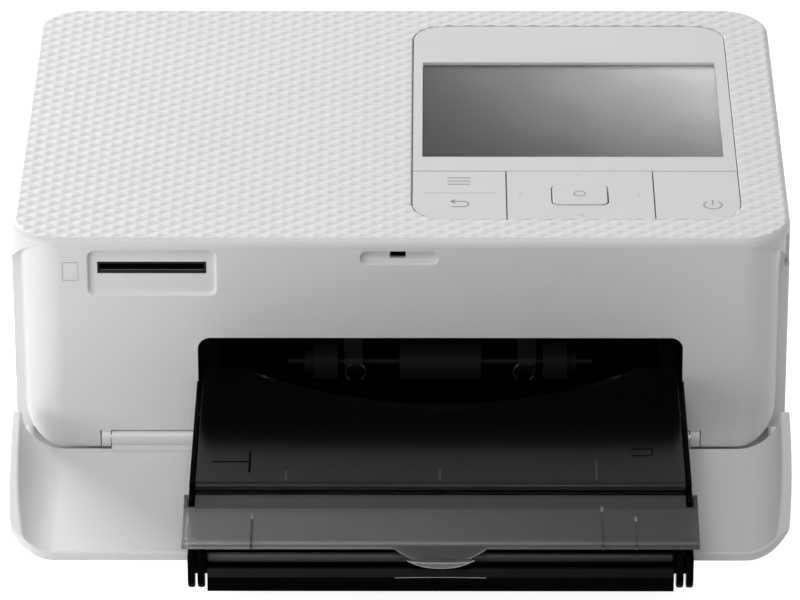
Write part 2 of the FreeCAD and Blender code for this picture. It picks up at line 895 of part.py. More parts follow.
def key_zone_opening():
    """The opening in the panel that all the keys sit in."""
    return block(control_left - overrun, control_right + overrun, control_front - overrun,
                 key_zone_rear, flange_top, control_top + overrun)


def stem(x, y):
    """A round stem under a key, down to its switch."""
    return rod_z(x, y, stem_bottom, key_bottom + key_thickness / 2, key_stem_r)


def menu_back_stems():
    """The rocker's two stems, as X and Y."""
    x = (control_left + key_split_left) / 2
    middle = (control_front + key_zone_rear) / 2
    reach = (key_zone_rear - control_front) / 4
    return [(x, middle - reach), (x, middle + reach)]


def nav_stems():
    """The stems at the four sides of the direction pad, as X and Y."""
    x, y = nav_middle()
    return [(x - nav_stem_x, y), (x + nav_stem_x, y), (x, y - nav_stem_y), (x, y + nav_stem_y)]


def nav_middle():
    """The middle of the direction pad and its centre button."""
    return (ok_left + ok_right) / 2, (ok_front + ok_rear) / 2


def power_stem():
    """The place of the power key's stem."""
    return (key_split_right + control_right) / 2, (control_front + key_zone_rear) / 2


def all_stems():
    """Every place where a key meets a switch."""
    return menu_back_stems() + nav_stems() + [nav_middle(), power_stem()]


def menu_back_key():
    """The rocker at the left: menu at the back, return at the front."""
    key = key_row(control_left - overrun, key_split_left - key_gap / 2,
                  control_front - overrun, key_zone_rear - key_gap)
    return join(key, *[stem(x, y) for x, y in menu_back_stems()])


def nav_pad():
    """The direction pad, with the hole for its centre button."""
    key = key_row(key_split_left + key_gap / 2, key_split_right - key_gap / 2,
                  control_front - overrun, key_zone_rear - key_gap)
    hole = rounded(ok_left - key_gap, ok_right + key_gap, ok_front - key_gap, ok_rear + key_gap,
                   stem_bottom, case_top + overrun, ok_r + key_gap, Vector(0, 0, 1))
    return join(cut(key, hole), *[stem(x, y) for x, y in nav_stems()])


def ok_button():
    """The centre button, standing a little proud of the pad."""
    cap = rounded(ok_left, ok_right, ok_front, ok_rear, key_bottom, control_top + ok_proud,
                  ok_r, Vector(0, 0, 1))
    rim = [edge for edge in cap.Edges if edge.BoundBox.ZMin > control_top]
    x, y = nav_middle()
    return join(cap.makeFillet(ok_proud, rim), stem(x, y))


def power_key():
    """The key at the right."""
    key = key_row(key_split_right + key_gap / 2, control_right + overrun,
                  control_front - overrun, key_zone_rear - key_gap)
    x, y = power_stem()
    return join(key, stem(x, y))


def nav_ring_window():
    """Room in the panel's flange for the pad's pivot ring."""
    x, y = nav_middle()
    return block(x - nav_ring_half_x - fit, x + nav_ring_half_x + fit,
                 y - nav_ring_half_y - fit, y + nav_ring_half_y + fit,
                 flange_bottom - overrun, flange_top + overrun)


def nav_pivot_ring():
    """The ring under the pad: it rocks on two stubs, and the pad rocks across it."""
    x, y = nav_middle()
    top = key_bottom - nav_ring_gap
    bottom = top - nav_ring_height
    outer = block(x - nav_ring_half_x, x + nav_ring_half_x, y - nav_ring_half_y,
                  y + nav_ring_half_y, bottom, top)
    half_x = nav_ring_half_x - nav_ring_wall_x
    half_y = nav_ring_half_y - nav_ring_wall_y
    inner = block(x - half_x, x + half_x, y - half_y, y + half_y, bottom - overrun,
                  top + overrun)
    return cut(outer, inner)


def control_panel():
    """The glossy plate round the display, with the frame that carries the keys."""
    plate = control_block(0, flange_bottom, control_top)
    flange = control_block(control_flange_reach, flange_bottom, flange_top)
    body = join(plate, flange)
    window = block(display_left - fit / 2, display_right + fit / 2, display_front - fit / 2,
                   display_rear + fit / 2, flange_bottom - overrun, case_top)
    holes = [rod_z(x, y, -overrun, case_top + overrun, key_stem_r + fit)
             for x, y in all_stems()]
    body = cut(body, window, key_zone_opening(), nav_ring_window(), module_room(), *holes)
    rocker_x = menu_back_stems()[0][0]
    middle_key = (control_front + key_zone_rear) / 2
    ridge = block(rocker_x - key_stem_r, rocker_x + key_stem_r, middle_key - seam,
                  middle_key + seam, flange_top - seam, key_bottom - seam)
    posts = [rod_z(px, py, board_z, flange_top - seam, key_stem_r) for px, py in board_posts()]
    return join(body, ridge, *posts)


def board_posts():
    """Where the key board hangs from the panel, as X and Y."""
    inset = control_r / 2
    return [(x, y) for x in (control_left + inset + key_stem_r, control_right - inset)
            for y in (control_front + inset, key_zone_rear - inset)]


def module_room():
    """The display module's room under the panel."""
    grow = module_margin + fit
    return block(display_left - grow, display_right + grow, display_front - grow,
                 display_rear + grow, flange_bottom - overrun, window_bottom)


def display_window():
    """The clear pane over the display."""
    return block(display_left, display_right, display_front, display_rear,
                 window_bottom, window_top)


def display_module():
    """The display under its pane."""
    top = window_bottom - fit
    grow = module_margin
    return block(display_left - grow, display_right + grow, display_front - grow,
                 display_rear + grow, top - module_thickness, top)


def key_board():
    """The circuit board under the keys."""
    return block(control_left, control_right, control_front, key_zone_rear,
                 board_z - board_thickness, board_z)


def key_switches():
    """A small square switch under every stem."""
    half = switch_size / 2
    switches = []
    for x, y in all_stems():
        body = block(x - half, x + half, y - half, y + half, board_z,
                     board_z + switch_height / 2)
        plunger = rod_z(x, y, board_z, switch_top, key_stem_r)
        switches.append(join(body, plunger))
    return Part.makeCompound(switches)


# Paper tray


def ear_outer():
    """Half the width over the tray's ears."""
    return lid_width / 2 + ear_gap + ear_wall


def flap_outer():
    """Half the width over the flap's side plates."""
    return ear_outer() + seam + flap_wall


def tray_ear():
    """The right ear: a shelf and a thin wall outside the lid, round in front at the flap's hinge."""
    outer = feed_x + ear_outer()
    inner = outer - ear_wall
    shelf_z = tray_wall_top - ear_shelf
    shelf = block(tray_right - tray_wall, outer, -ear_front, -ear_rear, shelf_z, tray_wall_top)
    fence = block(inner, outer, -lid_front - fit, -ear_rear, shelf_z, ear_top)
    round_r = flap_hinge_y + ear_front + seam
    nose = rod_x(inner, outer, flap_hinge_y, flap_hinge_z, round_r)
    neck = block(inner, outer, -ear_front, -lid_front, shelf_z, flap_hinge_z)
    return join(shelf, fence, nose, neck)


def tray_lobe(start):
    """One of the thin plates with a round foot at the front corner of the tray."""
    y = -tray_front
    z = bar_bottom + lobe_r
    foot = rod_x(start, start + lobe_wall, y, z, lobe_r)
    plate = block(start, start + lobe_wall, y - lobe_r, y + lobe_r, z, flap_edge_z - lobe_room)
    bridge = block(start, start + lobe_wall, y, -ear_front + ear_shelf, z,
                   tray_wall_top - ear_shelf)
    return join(foot, plate, bridge)


def tray_base():
    """The tray's floor and walls, its front bar, the ears that carry lid and flap, and its lobes."""
    body = block(tray_left, tray_right, -tray_front, tray_rear, tray_floor_z, tray_wall_top)
    hollow = block(tray_left + tray_wall, tray_right - tray_wall, -tray_front + tray_wall,
                   tray_rear + overrun, tray_floor_z + tray_floor, case_top)
    body = body.cut(hollow)
    bar = rounded(tray_left, tray_right, -tray_front - bar_depth, -tray_front + tray_wall,
                  bar_bottom, bar_top, tray_wall / 2, Vector(1, 0, 0))
    first = tray_right + lobe_gap
    second = first + lobe_wall + lobe_gap
    top_z = tray_wall_top - ear_shelf
    tie = block(tray_right - tray_wall, second + lobe_wall, -ear_front, -ear_front + ear_shelf,
                bar_bottom + lobe_r, top_z)
    sides = join(tray_ear(), tray_lobe(first), tray_lobe(second), tie)
    body = join(body, bar, both_sides(sides, feed_x))
    lid_bore = rod_x(-overrun - case_width, case_width + overrun, lid_axis_y(), lid_axis_z(),
                     lid_pin_r + running_fit)
    flap_bore = rod_x(-overrun - case_width, case_width + overrun, flap_hinge_y, flap_hinge_z,
                      flap_pin_r + running_fit)
    return cut(body, lid_bore, flap_bore)


def lid_axis_y():
    """The lid's hinge line lies along the middle of its round front edge."""
    return -lid_front + lid_hinge_r


def lid_axis_z():
    """The height of the lid's hinge line."""
    return lid_top - lid_hinge_r


def tray_lid():
    """The tray's inner lid: hinged in front, cut away behind in an arc for the rollers."""
    half = lid_width / 2
    left = feed_x - half
    right = feed_x + half
    plate = block(left, right, lid_axis_y(), lid_rear, lid_top - lid_plate, lid_top)
    edge = rod_x(left, right, lid_axis_y(), lid_axis_z(), lid_hinge_r)
    arc = rod_z(feed_x, lid_arc_r - lid_arc_front, -overrun, case_top, lid_arc_r)
    reach = ear_gap + ear_wall - seam
    pins = rod_x(left - reach, right + reach, lid_axis_y(), lid_axis_z(), lid_pin_r)
    runner = block(tray_right - tray_wall, tray_right, lid_axis_y() + lid_skirt,
                   -ear_rear - lid_skirt, tray_wall_top + fit, lid_top - lid_plate / 2)
    return join(cut(plate, arc), edge, pins, both_sides(runner, feed_x))


def flap_trim():
    """What the flap's foot loses: all below its edge, but for the round grip in the middle."""
    drop = flap_edge_z - flap_foot_z
    grip_r = (grip_half ** 2 + drop ** 2) / (2 * drop)
    half = flap_outer() + overrun
    below = block(feed_x - half, feed_x + half, -front_reach - overrun, flap_hinge_y,
                  flap_foot_z - overrun, flap_edge_z)
    grip = rod_y(feed_x, -front_reach - 2 * overrun, 0, flap_foot_z + grip_r, grip_r)
    return cut(below, grip)


def tray_flap():
    """The clear flap in front of the lid: two side plates, a bent plate and a grip lip."""
    half = flap_outer()
    left = feed_x - half
    right = feed_x + half
    outline = [(-flap_near, flap_near_z), (-flap_bend, flap_bend_z), (-flap_foot, flap_foot_z),
               (-flap_foot + flap_plate, flap_foot_z),
               (-flap_bend + flap_plate / 2, flap_bend_z - flap_plate),
               (-flap_near, flap_near_z - flap_plate)]
    plate = prism_x(outline, left, right)
    bend = [edge for edge in plate.Edges if edge.BoundBox.YMax < -flap_bend + seam
            and edge.BoundBox.ZMin > flap_bend_z - seam and edge.BoundBox.XLength > half]
    plate = plate.makeFillet(flap_bend_r, bend)
    notch = block(feed_x + lid_width / 2, right - flap_wall, -ear_front - 2 * seam, overrun,
                  -overrun, case_top)
    plate = cut(plate, both_sides(notch, feed_x))
    side = [(-flap_near, flap_near_z), (-flap_bend, flap_bend_z - flap_plate / 2),
            (-flap_foot + flap_plate / 2, flap_foot_z), (-flap_bend + flap_bend_r, flap_foot_z),
            (flap_hinge_y, flap_hinge_z - flap_boss_r)]
    cheek = join(prism_x(side, right - flap_wall, right),
                 rod_x(right - flap_wall, right, flap_hinge_y, flap_hinge_z, flap_boss_r))
    pin = rod_x(right - flap_wall - ear_wall, right, flap_hinge_y, flap_hinge_z, flap_pin_r)
    grip_depth = grip_half * grip_depth_share
    centre = Vector(feed_x, -front_reach + grip_depth, flap_foot_z)
    rim = Part.Ellipse(centre, grip_half, grip_depth)
    lip = Part.Face(Part.Wire([rim.toShape()])).extrude(Vector(0, 0, grip_height))
    lip = lip.common(block(left, right, -front_reach, -flap_foot + flap_plate,
                           flap_foot_z, flap_foot_z + grip_height))
    return join(cut(join(plate, lip, both_sides(cheek, feed_x)), flap_trim()),
                both_sides(pin, feed_x))


def tray_lift_plate():
    """The plate in the tray's floor that lifts the paper to the rollers."""
    left = tray_left + lift_inset
    right = tray_right - lift_inset
    z = tray_floor_z + tray_floor + lift_gap
    return block(left, right, lift_front, lift_rear, z, z + lift_plate)


def tray_rails():
    """Two rails on the floor of the case that the tray slides on."""
    outer = tray_right - rail_inset
    rail = block(outer - rail_width, outer, rail_front, tray_rear, floor_top,
                 floor_top + rail_height)
    return both_sides(rail, feed_x)


# Pickup rollers and the dark liner round them


def pickup_shaft():
    """The steel shaft of the pickup rollers."""
    return rod_x(feed_x - pickup_shaft_half, feed_x + pickup_shaft_half, pickup_y, pickup_z,
                 pickup_shaft_r)


def ribbed_roller(x0, x1):
    """A rubber roller with ribs along it, on a plain hub with the shaft's bore."""
    points = []
    turn = 2 * math.pi / pickup_ribs
    low = pickup_roller_r - pickup_rib_depth
    for number in range(pickup_ribs):
        start = number * turn
        for share, radius in ((0, pickup_roller_r), (pickup_rib_share, pickup_roller_r),
                              (pickup_rib_share, low), (1, low)):
            angle = start + share * turn
            points.append((pickup_y + radius * math.cos(angle),
                           pickup_z + radius * math.sin(angle)))
    bore = rod_x(x0 - overrun, x1 + overrun, pickup_y, pickup_z, pickup_shaft_r)
    return prism_x(points, x0, x1).cut(bore)


def pickup_roller():
    """The wide middle roller."""
    half = pickup_roller_width / 2
    return ribbed_roller(feed_x - half, feed_x + half)


def pickup_side_rollers():
    """The two narrow rollers at the sides, each with a hub."""
    rollers = []
    for side in (-1, 1):
        x = feed_x + side * side_roller_offset
        half = side_roller_width / 2
        hub = rod_x(min(x, x + side * (half + wall)), max(x, x + side * (half + wall)),
                    pickup_y, pickup_z, pickup_hub_r)
        bore = rod_x(x - overrun, x + overrun, pickup_y, pickup_z, pickup_shaft_r)
        rollers.append(ribbed_roller(x - half, x + half).fuse(hub.cut(bore)).removeSplitter())
    return Part.makeCompound(rollers)


def pickup_arms():
    """Two arms that hang from the liner's roof and hold the shaft in open clips."""
    arms = []
    for side in (-1, 1):
        x = feed_x + side * clip_offset
        left = x - clip_width / 2
        right = x + clip_width / 2
        ring = rod_x(left, right, pickup_y, pickup_z, clip_r)
        arm = block(left, right, pickup_y - arm_depth / 2, pickup_y + arm_depth / 2,
                    pickup_z, tunnel_roof)
        bore = rod_x(left - overrun, right + overrun, pickup_y, pickup_z,
                     pickup_shaft_r + running_fit)
        throat = block(left, right, pickup_y - pickup_shaft_r / 2, pickup_y + pickup_shaft_r / 2,
                       pickup_z - overrun, pickup_z)
        arms.append(cut(join(ring, arm), bore, throat))
    return Part.makeCompound(arms)


def feed_tunnel():
    """The liner inside the mouth: two sides and a roof."""
    inner_left = mouth_left - tunnel_room
    inner_right = mouth_right + tunnel_room
    front = hinge_y + barrel_r + 2 * fit
    outer = block(inner_left - tunnel_wall, inner_right + tunnel_wall, front, tunnel_rear,
                  floor_top, tunnel_roof + tunnel_wall)
    inner = block(inner_left, inner_right, front - overrun, tunnel_rear + overrun,
                  floor_top - overrun, tunnel_roof)
    return cut(outer, inner)


# Chassis and print unit


def cassette_window():
    """The side view of the ribbon cassette's way through the chassis, drawn out along X."""
    reach = trough_r + trough_wall + fit
    return block(-case_width, case_width, supply_y - reach, take_up_y + reach,
                 spool_z - reach, spool_z + reach)


def chassis_plate(x0, x1):
    """One steel side plate with its bearing holes and the print head's two guide slots."""
    plate = block(x0, x1, chassis_front, chassis_rear, floor_top, chassis_top)
    holes = []
    for y, z, radius in ((platen_y, platen_z, bush_r), (feed_y, feed_z, bush_r),
                         (feed_y, pinch_z, pinch_core_r + running_fit)):
        holes.append(rod_x(x0 - overrun, x1 + overrun, y, z, radius))
    half = guide_pin_r + guide_slot_gap
    z = guide_pin_z()
    slot = block(x0 - overrun, x1 + overrun, platen_y - half, platen_y + half, z - half,
                 z + head_travel + half)
    return cut(plate, slot, *holes)


def guide_pin_z():
    """The height of the head's guide pins while it prints."""
    return (sink_bottom + sink_top) / 2


def chassis_left_plate():
    """The plate at the drive side, with room for the spools' hubs."""
    x1 = chassis_left
    plate = chassis_plate(x1 - chassis_wall, x1)
    hubs = [rod_x(x1 - overrun, x1 + overrun, y, spool_z, cassette_hub_r + fit)
            for y in (supply_y, take_up_y)]
    return cut(plate, *hubs)


def chassis_right_plate():
    """The plate at the door side, open where the cassette slides in."""
    x0 = chassis_right
    plate = block(x0, x0 + chassis_wall, chassis_front, chassis_rear, floor_top, chassis_top)
    plate = plate.cut(cassette_window())
    holes = []
    for y, z, radius in ((platen_y, platen_z, bush_r), (feed_y, feed_z, bush_r)):
        holes.append(rod_x(x0 - overrun, x0 + overrun, y, z, radius))
    pivot = rod_x(x0 - overrun, x0 + overrun, lever_y, lever_z, lever_pin_r)
    return cut(plate, pivot, *holes)


def tie_bars():
    """Two bars that hold the side plates apart."""
    low = tunnel_roof + tunnel_wall + fit
    front = block(chassis_left, chassis_right, chassis_front, chassis_front + chassis_wall,
                  low, low + tie_bar_height)
    rear = block(chassis_left, chassis_right, chassis_rear - tie_bar_depth, chassis_rear,
                 chassis_top - tie_bar_height, chassis_top - tie_bar_height + chassis_wall)
    return Part.makeCompound([front, rear])


def bushes():
    """The four bearings of the platen and the feed roller."""
    rings = []
    for y, z, core in ((platen_y, platen_z, platen_core_r), (feed_y, feed_z, feed_r)):
        for x in (chassis_left - chassis_wall, chassis_right):
            ring = rod_x(x, x + chassis_wall, y, z, bush_r - running_fit / 2)
            rings.append(ring.cut(rod_x(x - overrun, x + overrun, y, z, core + running_fit)))
    return Part.makeCompound(rings)


def platen_roller():
    """The rubber roller under the print head, on its steel core."""
    reach = fit
    rubber = rod_x(chassis_left + bush_wall, chassis_right - bush_wall, platen_y, platen_z,
                   platen_r)
    core = rod_x(chassis_left - chassis_wall - reach, chassis_right + chassis_wall + reach,
                 platen_y, platen_z, platen_core_r)
    return join(rubber, core)


def feed_roller():
    """The steel roller that pulls the paper, gritty along its middle, out to its gear."""
    core = rod_x(bracket_left, chassis_right + chassis_wall + fit, feed_y, feed_z, feed_r)
    sleeve = rod_x(chassis_left + bush_wall, chassis_right - bush_wall, feed_y, feed_z,
                   feed_sleeve_r)
    return join(core, sleeve)


def pinch_roller():
    """The roller that presses the paper on the feed roller."""
    sleeve = rod_x(chassis_left + bush_wall, chassis_right - bush_wall, feed_y, pinch_z, pinch_r)
    core = rod_x(chassis_left - chassis_wall, chassis_right - fit, feed_y, pinch_z, pinch_core_r)
    return join(sleeve, core)


def thermal_head():
    """The ceramic bar with the row of heaters."""
    return block(chassis_left + bush_wall, chassis_right - bush_wall, platen_y - head_half_y,
                 platen_y + head_half_y, head_bottom, head_bottom + head_thickness)


def head_heat_sink():
    """The finned block that carries the head, with a guide pin in the left plate's slot."""
    left = chassis_left + bush_wall
    right = chassis_right - bush_wall
    body = block(left, right, platen_y - sink_half_y, platen_y + sink_half_y, sink_bottom,
                 sink_bottom + sink_base)
    step = (2 * sink_half_y - sink_fin) / (sink_fins - 1)
    fins = []
    for number in range(sink_fins):
        y = platen_y - sink_half_y + number * step
        fins.append(block(left, right, y, y + sink_fin, sink_bottom, sink_top))
    ends = [block(x, x + bush_wall, platen_y - sink_half_y, platen_y + sink_half_y,
                  sink_bottom, sink_top) for x in (left, right - bush_wall)]
    pin = rod_x(left - guide_pin_reach, left + bush_wall, platen_y, guide_pin_z(), guide_pin_r)
    return join(body, pin, *fins, *ends)


def spool(y, wound_r):
    """A ribbon spool: a core wound with ribbon between two flanges, with a stub at each end."""
    half = cassette_half - cassette_end - fit
    wound = rod_x(feed_x - half + spool_flange, feed_x + half - spool_flange, y, spool_z,
                  wound_r)
    flanges = [rod_x(x, x + spool_flange, y, spool_z, spool_flange_r)
               for x in (feed_x - half, feed_x + half - spool_flange)]
    hub = rod_x(feed_x - cassette_half - cassette_hub_length, feed_x - half, y, spool_z,
                cassette_hub_r)
    end = rod_x(feed_x + half, feed_x + cassette_half + fit, y, spool_z, cassette_hub_r)
    return join(wound, hub, end, *flanges)


def supply_spool():
    """The spool that the ribbon comes from, nearly full."""
    return spool(supply_y, spool_r)


def take_up_spool():
    """The spool that the used ribbon winds on, nearly empty."""
    return spool(take_up_y, spool_core_r)


def ribbon_cassette():
    """The cassette's shell: a trough over each spool, joined at both ends round the head."""
    left = feed_x - cassette_half
    right = feed_x + cassette_half
    outer_r = trough_r + trough_wall
    body = []
    for y in (supply_y, take_up_y):
        body.append(rod_x(left, right, y, spool_z, outer_r))
    z0 = spool_z + outer_r / 2
    z1 = spool_z + outer_r - trough_wall
    for x in (left, right - cassette_end):
        body.append(block(x, x + cassette_end, supply_y, take_up_y, z0, z1))
    body.append(block(right, right + cassette_grip, platen_y - outer_r, platen_y + outer_r,
                      z0, z0 + trough_wall))
    shell = join(*body)
    tools = []
    for y, side in ((supply_y, 1), (take_up_y, -1)):
        tools.append(rod_x(left + cassette_end, right - cassette_end, y, spool_z, trough_r))
        tools.append(rod_x(left - overrun, right + cassette_end + fit, y, spool_z,
                           cassette_hub_r + running_fit))
        near = min(y, y + side * outer_r)
        tools.append(block(left + cassette_end, right - cassette_end, near, near + outer_r,
                           spool_z - outer_r, spool_z - outer_r / 2))
    return cut(shell, *tools)


# Drive


def gear(teeth, x0, x1, y, z, bore, phase):
    """A spur gear with straight-flanked teeth, its first tooth at an angle given in degrees."""
    radius = teeth * tooth_module / 2
    tip = radius + tooth_module * tooth_height_share
    root = radius - tooth_module * tooth_root_share
    turn = 2 * math.pi / teeth
    points = []
    for number in range(teeth):
        middle = math.radians(phase) + number * turn
        for share, reach in ((-tooth_base_share, root), (-tooth_tip_share, tip),
                             (tooth_tip_share, tip), (tooth_base_share, root)):
            angle = middle + share * turn
            points.append((y + reach * math.cos(angle), z + reach * math.sin(angle)))
    return prism_x(points, x0, x1).cut(rod_x(x0 - overrun, x1 + overrun, y, z, bore))


def meshed(centre_y, centre_z, teeth, other_teeth, angle):
    """Where a gear stands that meshes with another one in a direction, and its own phase."""
    reach = (teeth + other_teeth) * tooth_module / 2
    y = centre_y + reach * math.cos(math.radians(angle))
    z = centre_z + reach * math.sin(math.radians(angle))
    pitch = 360 / other_teeth
    tooth_ahead = (angle / 360 * teeth) % 1
    phase = angle + 180 + (tooth_ahead + half_pitch_share) * pitch
    return y, z, phase


def feed_gear():
    """The feed roller's large gear."""
    return gear(feed_teeth, gear_left, gear_right, feed_y, feed_z, feed_r, 0)


def feed_pinion():
    """The feed motor's pinion and shaft."""
    y, z, phase = meshed(feed_y, feed_z, feed_teeth, feed_pinion_teeth, feed_pinion_angle)
    wheel = gear(feed_pinion_teeth, gear_left, gear_right + pinion_extra, y, z,
                 motor_shaft_r / 2, phase)
    return join(wheel, rod_x(bracket_left - motor_boss, gear_right, y, z, motor_shaft_r))


def take_up_gear():
    """The gear on the take-up spool's drive hub."""
    return gear(take_up_teeth, gear_left, gear_right, take_up_y, spool_z, cassette_hub_r / 2, 0)


def take_up_hub():
    """The hub that turns the take-up spool through the chassis plate."""
    return rod_x(gear_left, feed_x - cassette_half - cassette_hub_length - fit, take_up_y,
                 spool_z, cassette_hub_r)


def take_up_drive():
    """The take-up gear in one piece with its hub."""
    return join(take_up_gear(), take_up_hub())


def ribbon_pinion():
    """The ribbon motor's pinion and shaft."""
    y, z, phase = meshed(take_up_y, spool_z, take_up_teeth, take_up_pinion_teeth,
                         take_up_pinion_angle)
    wheel = gear(take_up_pinion_teeth, gear_left, gear_right + pinion_extra, y, z,
                 motor_shaft_r / 2, phase)
    return join(wheel, rod_x(bracket_left - motor_boss, gear_right, y, z, motor_shaft_r))


def motor(y, z, radius, length):
    """A round motor behind the bracket, with a bore for its shaft."""
    can = rod_x(bracket_left - length, bracket_left, y, z, radius)
    return can.cut(rod_x(bracket_left - motor_boss - fit, bracket_left, y, z,
                         motor_shaft_r + running_fit))


def feed_motor():
    """The motor that drives the feed roller."""
    y, z, _ = meshed(feed_y, feed_z, feed_teeth, feed_pinion_teeth, feed_pinion_angle)
    return motor(y, z, feed_motor_r, feed_motor_length)


def ribbon_motor():
    """The motor that winds the ribbon."""
    y, z, _ = meshed(take_up_y, spool_z, take_up_teeth, take_up_pinion_teeth,
                     take_up_pinion_angle)
    return motor(y, z, ribbon_motor_r, ribbon_motor_length)


def motor_bracket():
    """The steel plate that carries both motors and the end of the feed roller."""
    plate = block(bracket_left, bracket_right, bracket_front, bracket_rear, floor_top,
                  bracket_top)
    holes = [rod_x(bracket_left - overrun, bracket_right + overrun, feed_y, feed_z,
                   feed_r + running_fit)]
    for y, z, _ in (meshed(feed_y, feed_z, feed_teeth, feed_pinion_teeth, feed_pinion_angle),
                    meshed(take_up_y, spool_z, take_up_teeth, take_up_pinion_teeth,
                           take_up_pinion_angle)):
        holes.append(rod_x(bracket_left - overrun, bracket_right + overrun, y, z,
                           motor_shaft_r + fit))
    foot = block(bracket_left - tie_bar_depth, bracket_left, bracket_front, feed_y,
                 floor_top, floor_top + bracket_wall)
    return cut(join(plate, foot), *holes)


# Guides, boards, sockets and lever


def paper_ramp():
    """The guide that lifts the paper from the tray to the path and out to the rear slot."""
    top = path_z - path_gap - feed_sleeve_r / 2
    outline = [(ramp_front, ramp_low), (ramp_knee_y, ramp_knee_z), (ramp_top_y, top),
               (rear_split + rear_wrap - wall - fit, top),
               (rear_split + rear_wrap - wall - fit, top - ramp_wall),
               (ramp_top_y, top - ramp_wall), (ramp_knee_y + ramp_wall, ramp_knee_z - ramp_wall),
               (ramp_front, ramp_low - ramp_wall)]
    half = rear_slot_half
    sheet = prism_x(outline, feed_x - half, feed_x + half)
    leg = block(feed_x + half - ramp_wall, feed_x + half, ramp_top_y, chassis_rear,
                floor_top, top - ramp_wall / 2)
    front_leg = block(feed_x + half - ramp_wall, feed_x + half, ramp_front, ramp_knee_y,
                      floor_top, ramp_low - ramp_wall / 2)
    return join(sheet, both_sides(join(leg, front_leg), feed_x))


def card_reader():
    """The memory card's slot housing behind the face."""
    left = card_slot_left - reader_side
    right = card_slot_right + reader_side
    low = card_slot_bottom - reader_floor
    high = card_slot_top + reader_lid
    body = block(left, right, wall + seam, wall + reader_length, low, high)
    bay = block(card_slot_left, card_slot_right, -overrun, reader_length, card_slot_bottom,
                card_slot_top)
    board = block(left, right, wall + seam, wall + reader_length, low - board_thickness, low)
    return join(cut(body, bay), board)


def main_board():
    """The printer's circuit board, standing at the left wall, with its chips."""
    board = block(board_x, board_x + board_thickness, board_front, board_rear, floor_top,
                  board_top)
    chips = []
    z = (board_bottom + board_top) / 2
    for number in range(chip_count):
        y = board_front + chip_size / 2 + number * chip_step
        chips.append(block(board_x - chip_height, board_x, y, y + chip_size, z, z + chip_size))
    return join(board, *chips)


def dc_jack():
    """The power inlet: a block with a round bore and its centre pin."""
    half = jack_width / 2
    rear = case_depth - wall - seam
    body = block(jack_x - half, jack_x + half, rear - jack_length, rear, floor_top,
                 jack_z + jack_height / 2)
    bore = rod_y(jack_x, rear - jack_depth, rear + overrun, jack_z, jack_bore_r)
    pin = rod_y(jack_x, rear - jack_length / 2 - jack_depth / 2, rear, jack_z, jack_pin_r)
    return join(cut(body, bore), pin)


def usb_socket():
    """The data socket: an oval steel shell with its tongue, on a small board."""
    rear = case_depth - seam
    front = rear - usb_length
    half = usb_width / 2
    high = usb_height / 2
    radius = high - usb_wall / 2
    shell = rounded(usb_x - half, usb_x + half, front, rear, usb_z - high, usb_z + high,
                    radius, Vector(0, 1, 0))
    bay = rounded(usb_x - half + usb_wall, usb_x + half - usb_wall, front + usb_wall,
                  rear + overrun, usb_z - high + usb_wall, usb_z + high - usb_wall,
                  radius - usb_wall, Vector(0, 1, 0))
    tongue = block(usb_x - half / 2, usb_x + half / 2, front, rear - usb_wall * 2,
                   usb_z - usb_wall, usb_z + usb_wall)
    stand = block(usb_x - half, usb_x + half, front, case_depth - wall - fit, floor_top,
                  usb_z - high + usb_wall / 2)
    return join(cut(shell, bay), tongue, stand)


def eject_lever():
    """The lever beside the cassette that lets it out, on the right chassis plate."""
    x0 = chassis_right + chassis_wall + fit
    x1 = x0 + lever_wall
    boss = rod_x(x0, x1, lever_y, lever_z, lever_boss_r)
    arm = block(x0, x1, lever_y - lever_half, lever_y, lever_z - lever_width / 2,
                lever_z + lever_width / 2)
    tab = block(x0, x1 + lever_width, lever_y - lever_half, lever_y - lever_half + lever_wall,
                lever_z - lever_width / 2, lever_z + lever_width / 2)
    bore = rod_x(x0 - overrun, x1 + overrun, lever_y, lever_z, lever_pin_r + running_fit)
    return cut(join(boss, arm, tab), bore)


def lever_pin():
    """The eject lever's pin."""
    x0 = chassis_right
    x1 = chassis_right + chassis_wall + fit + lever_wall + fit
    return rod_x(x0, x1, lever_y, lever_z, lever_pin_r)


def main():
    """Make every piece and write one file for each."""
    os.makedirs("parts", exist_ok=True)
    pieces = [
        top_panel, front_panel, left_side_panel, right_side_panel, rear_panel, base_plate,
        rubber_feet, case_screws, front_cover, cover_hinge_pins, cover_catch,
        side_cover, side_cover_pins, control_panel, menu_back_key, nav_pad, nav_pivot_ring,
        ok_button, power_key, key_switches, key_board, display_window, display_module,
        tray_base, tray_lid, tray_flap, tray_lift_plate, tray_rails, pickup_shaft,
        pickup_roller, pickup_side_rollers, pickup_arms, feed_tunnel, chassis_left_plate,
        chassis_right_plate, tie_bars, bushes, platen_roller, feed_roller, pinch_roller,
        thermal_head, head_heat_sink, supply_spool, take_up_spool, ribbon_cassette,
        feed_gear, feed_pinion, take_up_drive, ribbon_pinion, feed_motor, ribbon_motor,
        motor_bracket, paper_ramp, card_reader, main_board, dc_jack, usb_socket,
        eject_lever, lever_pin,
    ]
    for piece in pieces:
        save(piece.__name__, piece())


main()
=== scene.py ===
# %% [markdown]
# # A compact photo printer, dressed for a studio picture
# The printer comes in as a finished CAD model: every shell, roller, key and screw is already a
# separate solid at its real size, and each one rides on the moving part that it belongs to.
# What is left to do here is what a CAD model lacks. Moulded edges are broken, so that they catch
# the light. The top gets its relief. Each plastic, metal and rubber gets its own finish.
# Lengths are in metres, as Blender counts them, and `MM` turns a millimetre into one.

# %% Load the frame
import json
import math

import bmesh
import bpy
from mathutils import Matrix, Vector

